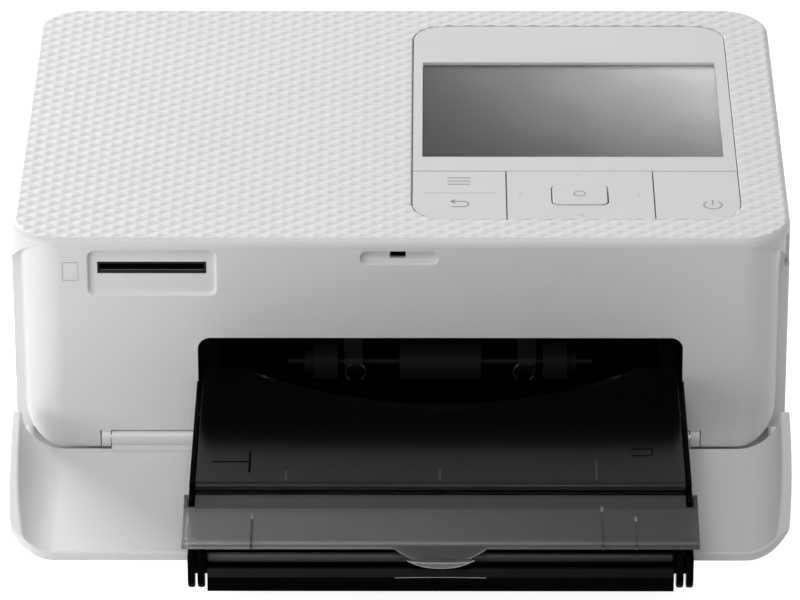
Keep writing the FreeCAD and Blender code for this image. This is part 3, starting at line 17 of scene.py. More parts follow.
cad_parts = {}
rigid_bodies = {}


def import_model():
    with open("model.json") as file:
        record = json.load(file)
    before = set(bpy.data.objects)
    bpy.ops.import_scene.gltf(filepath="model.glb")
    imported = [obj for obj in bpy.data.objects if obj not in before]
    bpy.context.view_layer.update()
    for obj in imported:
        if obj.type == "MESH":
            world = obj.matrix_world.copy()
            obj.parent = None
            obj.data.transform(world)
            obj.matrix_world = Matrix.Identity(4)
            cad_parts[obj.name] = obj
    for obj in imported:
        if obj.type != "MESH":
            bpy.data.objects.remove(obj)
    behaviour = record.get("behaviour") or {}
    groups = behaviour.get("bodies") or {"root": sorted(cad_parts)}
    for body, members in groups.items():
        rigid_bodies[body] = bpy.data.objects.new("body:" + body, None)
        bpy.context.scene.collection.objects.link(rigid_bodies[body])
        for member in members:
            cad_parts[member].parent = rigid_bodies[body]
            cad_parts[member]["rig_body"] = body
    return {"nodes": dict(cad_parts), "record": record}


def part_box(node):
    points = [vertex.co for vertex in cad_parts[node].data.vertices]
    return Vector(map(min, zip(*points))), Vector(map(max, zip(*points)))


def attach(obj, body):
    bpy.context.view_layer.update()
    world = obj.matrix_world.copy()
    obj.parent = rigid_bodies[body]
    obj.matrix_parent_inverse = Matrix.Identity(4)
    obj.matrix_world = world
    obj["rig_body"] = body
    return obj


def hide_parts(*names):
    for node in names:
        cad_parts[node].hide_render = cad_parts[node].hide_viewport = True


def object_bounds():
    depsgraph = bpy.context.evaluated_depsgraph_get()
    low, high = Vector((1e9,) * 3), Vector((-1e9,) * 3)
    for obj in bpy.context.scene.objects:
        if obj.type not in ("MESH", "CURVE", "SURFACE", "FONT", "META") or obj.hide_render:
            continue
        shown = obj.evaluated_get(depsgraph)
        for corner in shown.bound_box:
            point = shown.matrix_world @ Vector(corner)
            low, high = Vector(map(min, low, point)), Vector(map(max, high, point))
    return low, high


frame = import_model()
cad_low, cad_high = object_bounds()
MM = 0.001

# %% [markdown]
# ## The camera
# A product picture of a small thing is taken from far away with a long lens, so that the sides
# stay nearly parallel. The camera stands over a metre in front, looks down by 27 degrees and a
# hair to the left. A camera matrix has three axes for its columns: right, up, and backwards.
# Turning the look direction into those axes by hand keeps each angle readable.

# %% Place the camera
camera_place = Vector((0.007872, -1.248922, 0.666217))
camera_yaw = math.radians(-0.3726)
camera_pitch = math.radians(27.0854)
camera_roll = math.radians(-0.1313)
camera_lens = 265.07
camera_sensor = 36.0
camera_near, camera_far = 0.1, 40.0

look = Vector((math.sin(camera_yaw) * math.cos(camera_pitch),
               math.cos(camera_yaw) * math.cos(camera_pitch),
               -math.sin(camera_pitch)))
level_right = Vector((math.cos(camera_yaw), -math.sin(camera_yaw), 0))
level_up = level_right.cross(look)
right = level_right * math.cos(camera_roll) + level_up * math.sin(camera_roll)
up = level_up * math.cos(camera_roll) - level_right * math.sin(camera_roll)

camera_data = bpy.data.cameras.new("studio_camera")
camera_data.lens = camera_lens
camera_data.sensor_width = camera_sensor
camera_data.clip_start, camera_data.clip_end = camera_near, camera_far
camera = bpy.data.objects.new("studio_camera", camera_data)
bpy.context.scene.collection.objects.link(camera)
turn = Matrix((right, up, -look)).transposed().to_4x4()
camera.matrix_world = Matrix.Translation(camera_place) @ turn
bpy.context.scene.camera = camera
bpy.context.scene.view_settings.view_transform = "Standard"
print(f"camera {camera_place.length:.2f} m from the printer, {camera_lens:.0f} mm lens")

# %% [markdown]
# ## A short way to write node trees
# A material is a tree of nodes. Each node is made, its settings are set, and its inputs take
# either a plain value or a wire from another node. One helper does the three at once. It tells a
# wire from a value by its type, so a tree reads from top to bottom like a list of steps.
#
# An effect that several finishes share is a node *group* with named sockets. It is built once and
# placed in each material with that material's own values.

# %% Node helpers
def add(tree, kind, inputs=None, **settings):
    """A new node, with its settings, and its inputs as values or as wires from other nodes."""
    node = tree.nodes.new(kind)
    for name, value in settings.items():
        setattr(node, name, value)
    for name, value in (inputs or {}).items():
        if isinstance(value, bpy.types.NodeSocket):
            tree.links.new(value, node.inputs[name])
        else:
            node.inputs[name].default_value = value
    return node


def new_group(name, inputs, outputs):
    """An empty node group. Inputs are (name, socket type, value), outputs (name, socket type)."""
    tree = bpy.data.node_groups.new(name, "ShaderNodeTree")
    for socket_name, socket_type, value in inputs:
        socket = tree.interface.new_socket(socket_name, in_out="INPUT", socket_type=socket_type)
        socket.default_value = value
    for socket_name, socket_type in outputs:
        tree.interface.new_socket(socket_name, in_out="OUTPUT", socket_type=socket_type)
    entry = tree.nodes.new("NodeGroupInput").outputs
    leave = tree.nodes.new("NodeGroupOutput").inputs
    return tree, entry, leave


def place(tree, group, **values):
    """A group placed in a material, with that material's values under the group's own names."""
    node = tree.nodes.new("ShaderNodeGroup")
    node.node_tree = group
    for name, value in values.items():
        socket = node.inputs[name.replace("_", " ")]
        if isinstance(value, bpy.types.NodeSocket):
            tree.links.new(value, socket)
        else:
            socket.default_value = value
    return node.outputs


FLOAT, COLOUR = "NodeSocketFloat", "NodeSocketColor"

# %% [markdown]
# ## What every moulding shows
# Moulded plastic is never one even colour. Pigment and wall thickness drift by a percent or two
# over centimetres. The mould's own surface leaves a fine, tight grain, which softens the edge of
# every reflection. Both come from noise in object coordinates, and those are real metres here, so
# each pattern keeps its true size on every piece. Noise rarely leaves the middle half of its
# range, so that half is stretched over the whole drift.

# %% Group: slow drift of colour
noise_low, noise_high = 0.25, 0.75


def build_drift_group():
    """A colour that wanders by a share of itself, in patches of a given length."""
    tree, entry, leave = new_group(
        "slow drift",
        [("Colour", COLOUR, (1, 1, 1, 1)), ("Amount", FLOAT, 0.02), ("Patch", FLOAT, 0.03)],
        [("Colour", COLOUR), ("Mask", FLOAT)])
    where = add(tree, "ShaderNodeTexCoord").outputs["Object"]
    scale = add(tree, "ShaderNodeMath", {0: 1.0, 1: entry["Patch"]}, operation="DIVIDE")
    noise = add(tree, "ShaderNodeTexNoise",
                {"Vector": where, "Scale": scale.outputs[0], "Detail": 3.0, "Roughness": 0.5})
    low = add(tree, "ShaderNodeMath", {0: 1.0, 1: entry["Amount"]}, operation="SUBTRACT")
    high = add(tree, "ShaderNodeMath", {0: 1.0, 1: entry["Amount"]}, operation="ADD")
    level = add(tree, "ShaderNodeMapRange",
                {"Value": noise.outputs["Fac"], "From Min": noise_low, "From Max": noise_high,
                 "To Min": low.outputs[0], "To Max": high.outputs[0]})
    tinted = add(tree, "ShaderNodeVectorMath",
                 {0: entry["Colour"], "Scale": level.outputs["Result"]}, operation="SCALE")
    tree.links.new(tinted.outputs["Vector"], leave["Colour"])
    tree.links.new(noise.outputs["Fac"], leave["Mask"])
    return tree


slow_drift = build_drift_group()
print("group made:", slow_drift.name, [socket.name for socket in slow_drift.interface.items_tree])

# %% Group: mould grain
def build_grain_group():
    """The fine height and roughness of a mould's surface."""
    tree, entry, leave = new_group(
        "mould grain",
        [("Size", FLOAT, 0.0004), ("Roughness", FLOAT, 0.4), ("Spread", FLOAT, 0.06)],
        [("Height", FLOAT), ("Roughness", FLOAT)])
    where = add(tree, "ShaderNodeTexCoord").outputs["Object"]
    scale = add(tree, "ShaderNodeMath", {0: 1.0, 1: entry["Size"]}, operation="DIVIDE")
    pits = add(tree, "ShaderNodeTexVoronoi", {"Vector": where, "Scale": scale.outputs[0]},
               feature="SMOOTH_F1")
    fog = add(tree, "ShaderNodeTexNoise",
              {"Vector": where, "Scale": scale.outputs[0], "Detail": 2.0})
    both = add(tree, "ShaderNodeMath", {0: pits.outputs["Distance"], 1: fog.outputs["Fac"]},
               operation="MULTIPLY")
    centred = add(tree, "ShaderNodeMath", {0: fog.outputs["Fac"], 1: 0.5}, operation="SUBTRACT")
    rough = add(tree, "ShaderNodeMath",
                {0: centred.outputs[0], 1: entry["Spread"], 2: entry["Roughness"]},
                operation="MULTIPLY_ADD", use_clamp=True)
    tree.links.new(both.outputs[0], leave["Height"])
    tree.links.new(rough.outputs[0], leave["Roughness"])
    return tree


mould_grain = build_grain_group()
print("group made:", mould_grain.name)

# %% [markdown]
# ## Metal that was drawn or brushed
# Rolled sheet, drawn wire and turned shafts carry fine lines along one direction. Stretching the
# noise along that axis gives the lines: the coordinates are squeezed there before the noise reads
# them.

# %% Group: drawn lines
def build_lines_group():
    """The height and roughness of fine lines that run one way."""
    tree, entry, leave = new_group(
        "drawn lines",
        [("Size", FLOAT, 0.0003), ("Along", "NodeSocketVector", (0.03, 1, 1)),
         ("Roughness", FLOAT, 0.3), ("Spread", FLOAT, 0.2)],
        [("Height", FLOAT), ("Roughness", FLOAT)])
    where = add(tree, "ShaderNodeTexCoord").outputs["Object"]
    squeezed = add(tree, "ShaderNodeVectorMath", {0: where, 1: entry["Along"]},
                   operation="MULTIPLY")
    scale = add(tree, "ShaderNodeMath", {0: 1.0, 1: entry["Size"]}, operation="DIVIDE")
    lines = add(tree, "ShaderNodeTexNoise",
                {"Vector": squeezed.outputs["Vector"], "Scale": scale.outputs[0], "Detail": 4.0})
    centred = add(tree, "ShaderNodeMath", {0: lines.outputs["Fac"], 1: 0.5},
                  operation="SUBTRACT")
    rough = add(tree, "ShaderNodeMath",
                {0: centred.outputs[0], 1: entry["Spread"], 2: entry["Roughness"]},
                operation="MULTIPLY_ADD", use_clamp=True)
    tree.links.new(lines.outputs["Fac"], leave["Height"])
    tree.links.new(rough.outputs[0], leave["Roughness"])
    return tree


drawn_lines = build_lines_group()
print("group made:", drawn_lines.name)

# %% [markdown]
# ## Finishes
# Nearly every piece is a moulding, so one function mixes the two groups into a Principled shader,
# and each finish calls it with its own colour, gloss and grain. A metal takes the drawn lines
# instead. A grain a few thousandths of a millimetre deep is right for bump: no eye sees its
# shape, only what it does to a reflection.

# %% Moulded plastic and drawn metal
def new_material(name):
    """An empty material, its node tree and its Principled shader."""
    material = bpy.data.materials.new(name)
    material.use_nodes = True
    tree = material.node_tree
    return material, tree, tree.nodes["Principled BSDF"]


def moulded(name, colour, roughness, grain=0.35 * MM, depth=0.004 * MM, drift=0.015,
            patch=30 * MM, spread=0.08, **plain):
    """A moulded plastic or rubber. Grain and depth are lengths, drift and spread are shares."""
    material, tree, shader = new_material(name)
    tone = place(tree, slow_drift, Colour=(*colour, 1), Amount=drift, Patch=patch)
    skin = place(tree, mould_grain, Size=grain, Roughness=roughness, Spread=spread)
    bump = add(tree, "ShaderNodeBump", {"Height": skin["Height"], "Distance": depth})
    tree.links.new(tone["Colour"], shader.inputs["Base Color"])
    tree.links.new(skin["Roughness"], shader.inputs["Roughness"])
    tree.links.new(bump.outputs["Normal"], shader.inputs["Normal"])
    for socket, value in plain.items():
        shader.inputs[socket.replace("_", " ")].default_value = value
    return material


def drawn(name, colour, roughness, along, size=0.25 * MM, depth=0.003 * MM, spread=0.25,
          drift=0.04):
    """A bare metal with fine lines along the axis where `along` is small."""
    material, tree, shader = new_material(name)
    tone = place(tree, slow_drift, Colour=(*colour, 1), Amount=drift, Patch=12 * MM)
    lines = place(tree, drawn_lines, Size=size, Along=along, Roughness=roughness, Spread=spread)
    bump = add(tree, "ShaderNodeBump", {"Height": lines["Height"], "Distance": depth})
    tree.links.new(tone["Colour"], shader.inputs["Base Color"])
    tree.links.new(lines["Roughness"], shader.inputs["Roughness"])
    tree.links.new(bump.outputs["Normal"], shader.inputs["Normal"])
    shader.inputs["Metallic"].default_value = 1.0
    return material


along_x, along_y, along_z = (0.03, 1, 1), (1, 0.03, 1), (1, 1, 0.03)
# Each row has a name, a colour and a roughness, and then only what differs from the usual.
finishes = {
    "white_shell": moulded("white shell", (0.80, 0.80, 0.805), 0.36),
    "relief_top": moulded("white relief top", (0.80, 0.80, 0.805), 0.42),
    "panel_gloss": moulded("control panel", (0.74, 0.742, 0.75), 0.3, depth=0.002 * MM),
    "base_grey": moulded("grey base", (0.30, 0.30, 0.31), 0.5),
    "foot_rubber": moulded("foot rubber", (0.05, 0.05, 0.05), 0.8, depth=0.02 * MM),
    "black_frame": moulded("black inner frame", (0.006, 0.006, 0.006), 0.55,
                           Specular_IOR_Level=0.2),
    "nylon": moulded("natural nylon", (0.62, 0.60, 0.54), 0.45, drift=0.03),
    "switch_black": moulded("black connector", (0.02, 0.02, 0.02), 0.4),
    "cassette_grey": moulded("ribbon cassette", (0.16, 0.17, 0.19), 0.5),
    "lever_white": moulded("white lever", (0.70, 0.70, 0.68), 0.4),
    # Painted shade: the pickup rubber is set far darker than its own grey-green, as it lies in the shaded
    # mouth.
    "roller_rubber": moulded("pickup rubber in painted shade", (0.013, 0.0155, 0.015), 0.7, depth=0.012 * MM,
                             Specular_IOR_Level=0.2),
    "platen_rubber": moulded("platen rubber", (0.03, 0.03, 0.032), 0.55, depth=0.01 * MM),
    "tray_black": moulded("glossy black tray", (0.0003, 0.0003, 0.0003), 0.14, depth=0.001 * MM,
                          Specular_IOR_Level=0.012),
    "head_ceramic": moulded("head ceramic", (0.45, 0.42, 0.36), 0.35),
    "ribbon_film": moulded("ribbon film", (0.32, 0.22, 0.06), 0.25, drift=0.2, patch=2 * MM),
    "board_green": moulded("circuit board", (0.02, 0.11, 0.05), 0.3, drift=0.15, patch=3 * MM),
    "screw_steel": drawn("screw steel", (0.42, 0.42, 0.43), 0.32, along_z),
    "steel": drawn("drawn steel", (0.62, 0.62, 0.63), 0.25, along_x),
    "chassis_steel": drawn("rolled sheet steel", (0.55, 0.56, 0.57), 0.35, along_y),
    "sink_aluminium": drawn("extruded aluminium", (0.72, 0.73, 0.74), 0.32, along_x),
    "brass": drawn("turned brass", (0.72, 0.50, 0.20), 0.28, along_x),
    "motor_can": drawn("motor can", (0.50, 0.50, 0.51), 0.3, along_x),
    # Blackened steel; on the pickup shaft its black is painted shade.
    "black_oxide": drawn("blackened steel and painted shade", (0.012, 0.012, 0.013), 0.45, along_x),
    "clip_wire": drawn("spring wire", (0.22, 0.22, 0.225), 0.3, along_z),
    # Dark rib grey, on the lid's ribs and the flap's; on the clear flap it is painted shade.
    "rib_tone_and_shade": moulded("dark rib tone and painted shade", (0.035, 0.035, 0.034), 0.25, depth=0.001 * MM,
                        Specular_IOR_Level=0.2),
    # Painted reflection: the lip's pale grey and the bar face's grey stand in for the room seen in the
    # glossy black tray.
    "lip_reflection_grey": moulded("tray lip with painted reflection", (0.075, 0.075, 0.074), 0.35, depth=0.001 * MM,
                        Specular_IOR_Level=0.2),
    "bar_reflection_grey": moulded("tray bar face with painted reflection", (0.010, 0.010, 0.010), 0.3, depth=0.001 * MM,
                        Specular_IOR_Level=0.05),
    # Painted highlight: a pale bead that stands in for the shine of a clear edge.
    "highlight_bead": moulded("painted highlight of a clear edge", (0.42, 0.42, 0.41), 0.2, depth=0.001 * MM),
    # Painted highlight at both ends of each flap rib.
    "rib_end_highlight": moulded("painted highlight at a rib's end", (0.22, 0.22, 0.22), 0.2, depth=0.001 * MM,
                         Specular_IOR_Level=0.3),
}
print(f"{len(finishes)} finishes for mouldings and metals")

# %% [markdown]
# ## Smoked and clear plastic
# The tray's lid is smoked acrylic and the flap in front of it is a clearer one. Both are real
# slabs here, so light bends through them and picks up their tint. A slightly rough surface keeps
# the tray below from reading as a sharp picture. Real acrylic bends light by an index of 1.49.
# A lower one is set for each piece here, because the wide white room would be too bright in it.

# %% Clear plastics
def clear_plastic(name, tint, roughness, grain, depth, bend=1.49, clear=1.0, bow=0.0):
    """A see-through plastic. `bend` is its index of refraction, `clear` the share that passes.

    `bow` leans the reflections, as a slab does that rises a little towards the front.
    """
    material, tree, shader = new_material(name)
    tone = place(tree, slow_drift, Colour=(*tint, 1), Amount=0.05, Patch=15 * MM)
    skin = place(tree, mould_grain, Size=grain, Roughness=roughness, Spread=0.06)
    bump = add(tree, "ShaderNodeBump", {"Height": skin["Height"], "Distance": depth})
    tree.links.new(tone["Colour"], shader.inputs["Base Color"])
    tree.links.new(skin["Roughness"], shader.inputs["Roughness"])
    tree.links.new(bump.outputs["Normal"], shader.inputs["Normal"])
    if bow:
        where = add(tree, "ShaderNodeTexCoord").outputs["Object"]
        split = add(tree, "ShaderNodeSeparateXYZ", {"Vector": where})
        lean = add(tree, "ShaderNodeBump", {"Height": split.outputs["Y"], "Distance": bow,
                                            "Normal": bump.outputs["Normal"]}, invert=True)
        tree.links.new(lean.outputs["Normal"], shader.inputs["Normal"])
    shader.inputs["Transmission Weight"].default_value = clear
    shader.inputs["IOR"].default_value = bend
    return material


finishes["lid_smoke"] = clear_plastic(
    "smoked lid", (0.05, 0.05, 0.048), roughness=0.14, grain=0.5 * MM, depth=0.0005 * MM,
    bend=1.21, clear=0.95, bow=0.121)
finishes["flap_clear"] = clear_plastic(
    "clear flap", (0.42, 0.42, 0.42), roughness=0.32, grain=0.3 * MM, depth=0.002 * MM,
    bend=1.37, clear=0.85)
finishes["display_glass"] = clear_plastic(
    "display window", (0.98, 0.98, 0.98), roughness=0.02, grain=0.5 * MM, depth=0.0001 * MM,
    bend=1.17)
print("clear plastics: smoked lid, clear flap, display window")

# %% [markdown]
# ## Painted shade on the flap
# On the real flap the strip behind the ribs is darker than the rest, as it lies in shade where it
# tucks under the lid's front edge, and the whole front of the tray gets darker towards the right,
# where less of the room's light reaches it. A lamp or a screen could do that, but it would touch
# the other pieces too. So both shades are painted: the tint itself is multiplied by a factor that
# runs between two places along one axis, and it stays put from every side.

# %% Painted shade: the flap's darker strip and its fade to the right
def painted_shade_ramp(material, axis, start, end, first, last):
    """Painted shade: the tint is multiplied by a factor that runs from first to last between two places."""
    tree = material.node_tree
    shader = tree.nodes["Principled BSDF"]
    tone = shader.inputs["Base Color"].links[0].from_socket
    where = add(tree, "ShaderNodeTexCoord").outputs["Object"]
    split = add(tree, "ShaderNodeSeparateXYZ", {"Vector": where})
    level = add(tree, "ShaderNodeMapRange",
                {"Value": split.outputs[axis], "From Min": start, "From Max": end,
                 "To Min": first, "To Max": last})
    shaded = add(tree, "ShaderNodeVectorMath", {0: tone, "Scale": level.outputs["Result"]},
                 operation="SCALE")
    tree.links.new(shaded.outputs["Vector"], shader.inputs["Base Color"])


# Painted shade on the flap's strip behind the ribs, where it tucks under the lid's front edge.
strip_line_y, strip_soft, strip_shade_share = -87.0 * MM, 0.15 * MM, 0.3
shade_fade_left, shade_fade_right, shade_fade_share = -43 * MM, 61 * MM, 0.3
painted_shade_ramp(finishes["flap_clear"], "Y", strip_line_y - strip_soft, strip_line_y + strip_soft,
            1.0, strip_shade_share)
# Painted shade: the flap, the lip and the bar face get darker towards the right.
for shade_faded in ("flap_clear", "lip_reflection_grey", "bar_reflection_grey"):
    painted_shade_ramp(finishes[shade_faded], "X", shade_fade_left, shade_fade_right, 1.0, shade_fade_share)
print(f"the flap is darker behind y = {strip_line_y / MM:.1f} mm, and flap and lip fade to the right")

# %% [markdown]
# ## The display
# The display is off, and what shows in it is a smooth sweep from near black at the front left to
# a pale grey at the rear right. It is the bright room seen in the polished layers, painted on the
# face under the window so that it stays put from every side. One map carries the share of the way
# across the face, another the share from front to rear, and they blend four corner greys. A Mix
# node has sockets of one name for each kind of data, so its colour sockets are told by number.
# Last, a narrow band along the rear edge is a little darker, as the frame's shadow makes it.

# %% Mix of two colours
COLOUR_A, COLOUR_B, COLOUR_RESULT = 6, 7, 2


def mixed_colour(tree, share, first, last):
    """A mix of two colours, each a value or a wire, by a wire that carries the share."""
    mix = add(tree, "ShaderNodeMix", {"Factor": share, COLOUR_A: first, COLOUR_B: last},
              data_type="RGBA")
    return mix.outputs[COLOUR_RESULT]


# %% Display face, with a painted reflection
# Painted reflection: the room seen in the window, given as four corner greys.
front_left, front_right = (0.001, 0.001, 0.001, 1), (0.14, 0.141, 0.143, 1)
rear_left, rear_right = (0.062, 0.062, 0.063, 1), (0.575, 0.578, 0.585, 1)
ease_power = 1.5
face_low, face_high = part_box("display_module")


def build_display_face():
    """The face under the display's window, with its sweep of grey, a painted reflection of the room."""
    material, tree, shader = new_material("display face")
    where = add(tree, "ShaderNodeTexCoord").outputs["Object"]
    split = add(tree, "ShaderNodeSeparateXYZ", {"Vector": where})
    across = add(tree, "ShaderNodeMapRange",
                 {"Value": split.outputs["X"], "From Min": face_low.x, "From Max": face_high.x})
    deep = add(tree, "ShaderNodeMapRange",
               {"Value": split.outputs["Y"], "From Min": face_low.y, "From Max": face_high.y})
    eased = add(tree, "ShaderNodeMath", {0: across.outputs["Result"], 1: ease_power},
                operation="POWER")
    front = mixed_colour(tree, eased.outputs["Value"], front_left, front_right)
    rear = mixed_colour(tree, eased.outputs["Value"], rear_left, rear_right)
    sweep = mixed_colour(tree, deep.outputs["Result"], front, rear)
    tree.links.new(sweep, shader.inputs["Base Color"])
    shader.inputs["Roughness"].default_value = 0.4
    shader.inputs["Specular IOR Level"].default_value = 0.0
    return material


finishes["display_face"] = build_display_face()
# Painted shadow of the frame along the face's rear edge.
shadow_band, shadow_soft, shadow_share = 2.6 * MM, 0.1 * MM, 0.8
painted_shade_ramp(finishes["display_face"], "Y", face_high.y - shadow_band - shadow_soft,
            face_high.y - shadow_band + shadow_soft, 1.0, shadow_share)
print("display face painted from four corner greys")

# %% [markdown]
# ## From CAD solid to moulded shell
# The CAD mesh of a node has a hard edge wherever two faces meet, and each face has corners of its
# own, so a bevel would find no edge to round. A copy with its corners welded is a closed skin
# again. Then flat triangles are joined into whole faces, every sharp edge gets a small round of a
# tenth to a third of a millimetre, as a mould leaves it, and the normals are smoothed up to an
# angle. The top's seam stays sharp, because a round there would open it.
# The copy rides on the same body as its node, takes its place in the picture and its finish from
# the record's slot, except the card reader, whose darker finish is painted shade.

# %% Copy a node as a welded mesh
weld_gap = 0.0005 * MM
flat_angle = math.radians(0.5)
sharp_angle = math.radians(28)
level_room = 0.05 * MM
slot_of = {part["node"]: part["material_slot"] for part in frame["record"]["subparts"]}
# Painted shade: the pickup shaft in the mouth and the card reader in its slot are darker than their own
# metal.
shade_finish = {"pickup_shaft": "black_oxide", "card_reader": "black_frame"}


def finish_of(node):
    """Most nodes wear their slot's finish; the pickup shaft and the card reader wear a darker one, painted
    shade of the dark mouth and the dark slot.
    """
    return finishes[shade_finish.get(node, slot_of[node])]


def welded(node):
    """The node's mesh as a bmesh with one corner where faces meet, and flat faces whole."""
    mesh = bmesh.new()
    mesh.from_mesh(frame["nodes"][node].data)
    bmesh.ops.remove_doubles(mesh, verts=mesh.verts, dist=weld_gap)
    bmesh.ops.dissolve_limit(mesh, angle_limit=flat_angle, verts=mesh.verts, edges=mesh.edges)
    return mesh


def is_sharp(line):
    """Whether the two faces of this edge meet at more than the sharp angle."""
    return line.is_manifold and line.calc_face_angle() > sharp_angle


def as_object(name, mesh, material):
    """The mesh as an object of the scene with this finish."""
    data = bpy.data.meshes.new(name)
    mesh.to_mesh(data)
    mesh.free()
    data.materials.append(material)
    made = bpy.data.objects.new(name, data)
    bpy.context.scene.collection.objects.link(made)
    return made


def smooth(made, angle=sharp_angle):
    """Smooth faces, with the edges sharper than the angle kept, and flat faces left flat."""
    made.data.polygons.foreach_set("use_smooth", [True] * len(made.data.polygons))
    made.data.set_sharp_from_angle(angle=angle)
    lead = made.modifiers.new("large faces lead", "WEIGHTED_NORMAL")
    lead.keep_sharp = True


def dress(made, node):
    """The new piece moves with the node's body and stands for it."""
    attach(made, frame["nodes"][node]["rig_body"])
    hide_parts(node)
    return made


print(f"edges are sharp from {math.degrees(sharp_angle):.0f} degrees on, {len(slot_of)} nodes have a slot")

# %% [markdown]
# ## Edges with a wider round
# Three places on the real mouldings have a rounder edge than the rest: the lobes at the tray's
# front corners, the rim of the open cover and the recess round the card slot. Their edges are
# picked by place and rounded first. Blender's bevel can keep every round as narrow as the
# shortest edge beside any of them allows. For the cover and the recess that limit is off.

# %% Pick and round the wider edges
lid_low, lid_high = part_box("tray_lid")
feed_x = (lid_low.x + lid_high.x) / 2
wide_segments = 4
lobe_start, lobe_rear, lobe_round = 52.6 * MM, -92 * MM, 0.7 * MM


def lobe_edges(mesh):
    """The sharp edges of the thin round-footed plates at the tray's front corners."""
    return [line for line in mesh.edges
            if is_sharp(line)
            and all(abs(corner.co.x - feed_x) > lobe_start and corner.co.y < lobe_rear
                    for corner in line.verts)]


def round_edges(mesh, edges, width, segments, clamp=True):
    """Round these edges. Where `clamp` is on, the shortest neighbour limits the width of all."""
    bmesh.ops.bevel(mesh, geom=edges, offset=width, offset_type="OFFSET", segments=segments,
                    profile=0.5, affect="EDGES", clamp_overlap=clamp)


face_y = -27.9 * MM
recess_low, recess_high = Vector((-73.0 * MM, 0, 42 * MM)), Vector((-42.0 * MM, 0, 54.6 * MM))
opening_low = Vector((-70.8 * MM, 0, 47.6 * MM))
opening_high = Vector((-44.7 * MM, 0, 51.9 * MM))
recess_depth = 1.0 * MM


def between(place, low, high):
    """Whether the place lies between two corners of the face, seen from the front."""
    return low.x < place.x < high.x and low.z < place.z < high.z


def recess_edges(mesh, level_y, skip_opening):
    """The edges of the card recess at one depth, without those of the slot in its floor."""
    return [line for line in mesh.edges
            if is_sharp(line)
            and all(abs(corner.co.y - level_y) < level_room
                    and between(corner.co, recess_low, recess_high)
                    and not (skip_opening and between(corner.co, opening_low, opening_high))
                    for corner in line.verts)]


rim_round, floor_round, cover_round = 0.55 * MM, 0.38 * MM, 0.55 * MM
cover_side, cover_fore, cover_end, claw_half = 85.5 * MM, -75.5 * MM, -29.5 * MM, 12 * MM


def cover_rim(mesh):
    """The edges of the open cover's rim, but not those at its hinges and at its middle claw."""
    return [line for line in mesh.edges
            if is_sharp(line)
            and all(abs(corner.co.x) > cover_side or corner.co.y < cover_fore
                    for corner in line.verts)
            and min(corner.co.y for corner in line.verts) < cover_end
            and min(abs(corner.co.x) for corner in line.verts) > claw_half]


def round_wide_edges(mesh, node):
    """Rounds the wider edges of the three nodes that have such."""
    if node == "tray_base":
        round_edges(mesh, lobe_edges(mesh), lobe_round, wide_segments)
    if node == "front_cover":
        rim = cover_rim(mesh)
        round_edges(mesh, rim, cover_round, wide_segments, clamp=False)
        print(f"open cover: {len(rim)} rim edges rounded {cover_round / MM:.2f} mm")
    if node == "front_panel":
        rim = recess_edges(mesh, face_y, False)
        round_edges(mesh, rim, rim_round, wide_segments, clamp=False)
        floor_edge = recess_edges(mesh, face_y + recess_depth, True)
        round_edges(mesh, floor_edge, floor_round, wide_segments, clamp=False)
        print(f"card recess: {len(rim)} rim edges and {len(floor_edge)} floor edges rounded")


# %% Round the mouldings
seam_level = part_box("front_panel")[1].z - level_room
above_seam = ("control_panel", "menu_back_key", "nav_pad", "power_key", "ok_button",
              "display_window")
edge_segments = 2


def softened(node, edge):
    """A copy of the node with its sharp edges rounded by `edge`, but for those at the seam."""
    mesh = welded(node)
    round_wide_edges(mesh, node)
    sharp = [line for line in mesh.edges
             if is_sharp(line)
             and (node in above_seam
                  or min(corner.co.z for corner in line.verts) < seam_level)]
    round_edges(mesh, sharp, edge, edge_segments)
    made = as_object(f"{node}_shell", mesh, finish_of(node))
    smooth(made)
    return dress(made, node)


shell_edges = {
    "front_panel": 0.25 * MM, "left_side_panel": 0.2 * MM, "right_side_panel": 0.2 * MM,
    "rear_panel": 0.25 * MM, "front_cover": 0.35 * MM, "side_cover": 0.25 * MM,
    "control_panel": 0.2 * MM, "menu_back_key": 0.15 * MM, "nav_pad": 0.15 * MM,
    "power_key": 0.15 * MM, "ok_button": 0.15 * MM, "tray_base": 0.25 * MM,
    "tray_lid": 0.15 * MM, "tray_flap": 0.15 * MM, "tray_lift_plate": 0.1 * MM,
    "base_plate": 0.25 * MM, "rubber_feet": 0.3 * MM, "feed_tunnel": 0.2 * MM,
    "pickup_arms": 0.15 * MM, "cover_catch": 0.15 * MM, "card_reader": 0.1 * MM,
    "display_window": 0.1 * MM, "dc_jack": 0.2 * MM, "usb_socket": 0.1 * MM,
}
for node, edge in shell_edges.items():
    shell = softened(node, edge)
    print(f"{shell.name}: {len(shell.data.polygons)} faces, edges rounded {edge / MM:.2f} mm")

for node, solid in frame["nodes"].items():
    solid.data.materials.clear()
    solid.data.materials.append(finish_of(node))
print(f"{len(frame['nodes'])} CAD nodes carry their finish")

# %% [markdown]
# ## The relief on the top
# The whole top is covered with low pyramids on a diamond lattice: each stands on a rhombus about
# 5 mm wide and 4 mm deep, and is a third of a millimetre high. A bump map would look flat along
# the rim, so the relief is cut as geometry. Two slanted coordinates, `u` and `v`, make it simple:
# in them the rhombus is a square from -1 to 1, and the height depends only on the larger of |u|
# and |v|. A soft maximum in place of the hard one rounds the ridges, and a share of a cosine
# rounds the peaks and valleys. The sheet of pyramids gets sides and a bottom, and a boolean keeps
# what it shares with the top panel. So the relief runs right up to the panel's rounded rim. At
# last the panel's underside is lowered until its seam with the case is only a hairline.

# %% Height of the relief
half_cell_x, half_cell_y = 2.604 * MM, 2.0985 * MM
first_peak_x, first_peak_y = 1.02 * MM, -25.27 * MM
relief_height = 0.34 * MM
relief_steps = 6
ridge_power = 7
soft_share = 0.15
relief_sharp_angle = math.radians(40)


def fold(value):
    """Distance to the nearest even number, which is the middle of a cell."""
    return abs((value + 1) % 2 - 1)


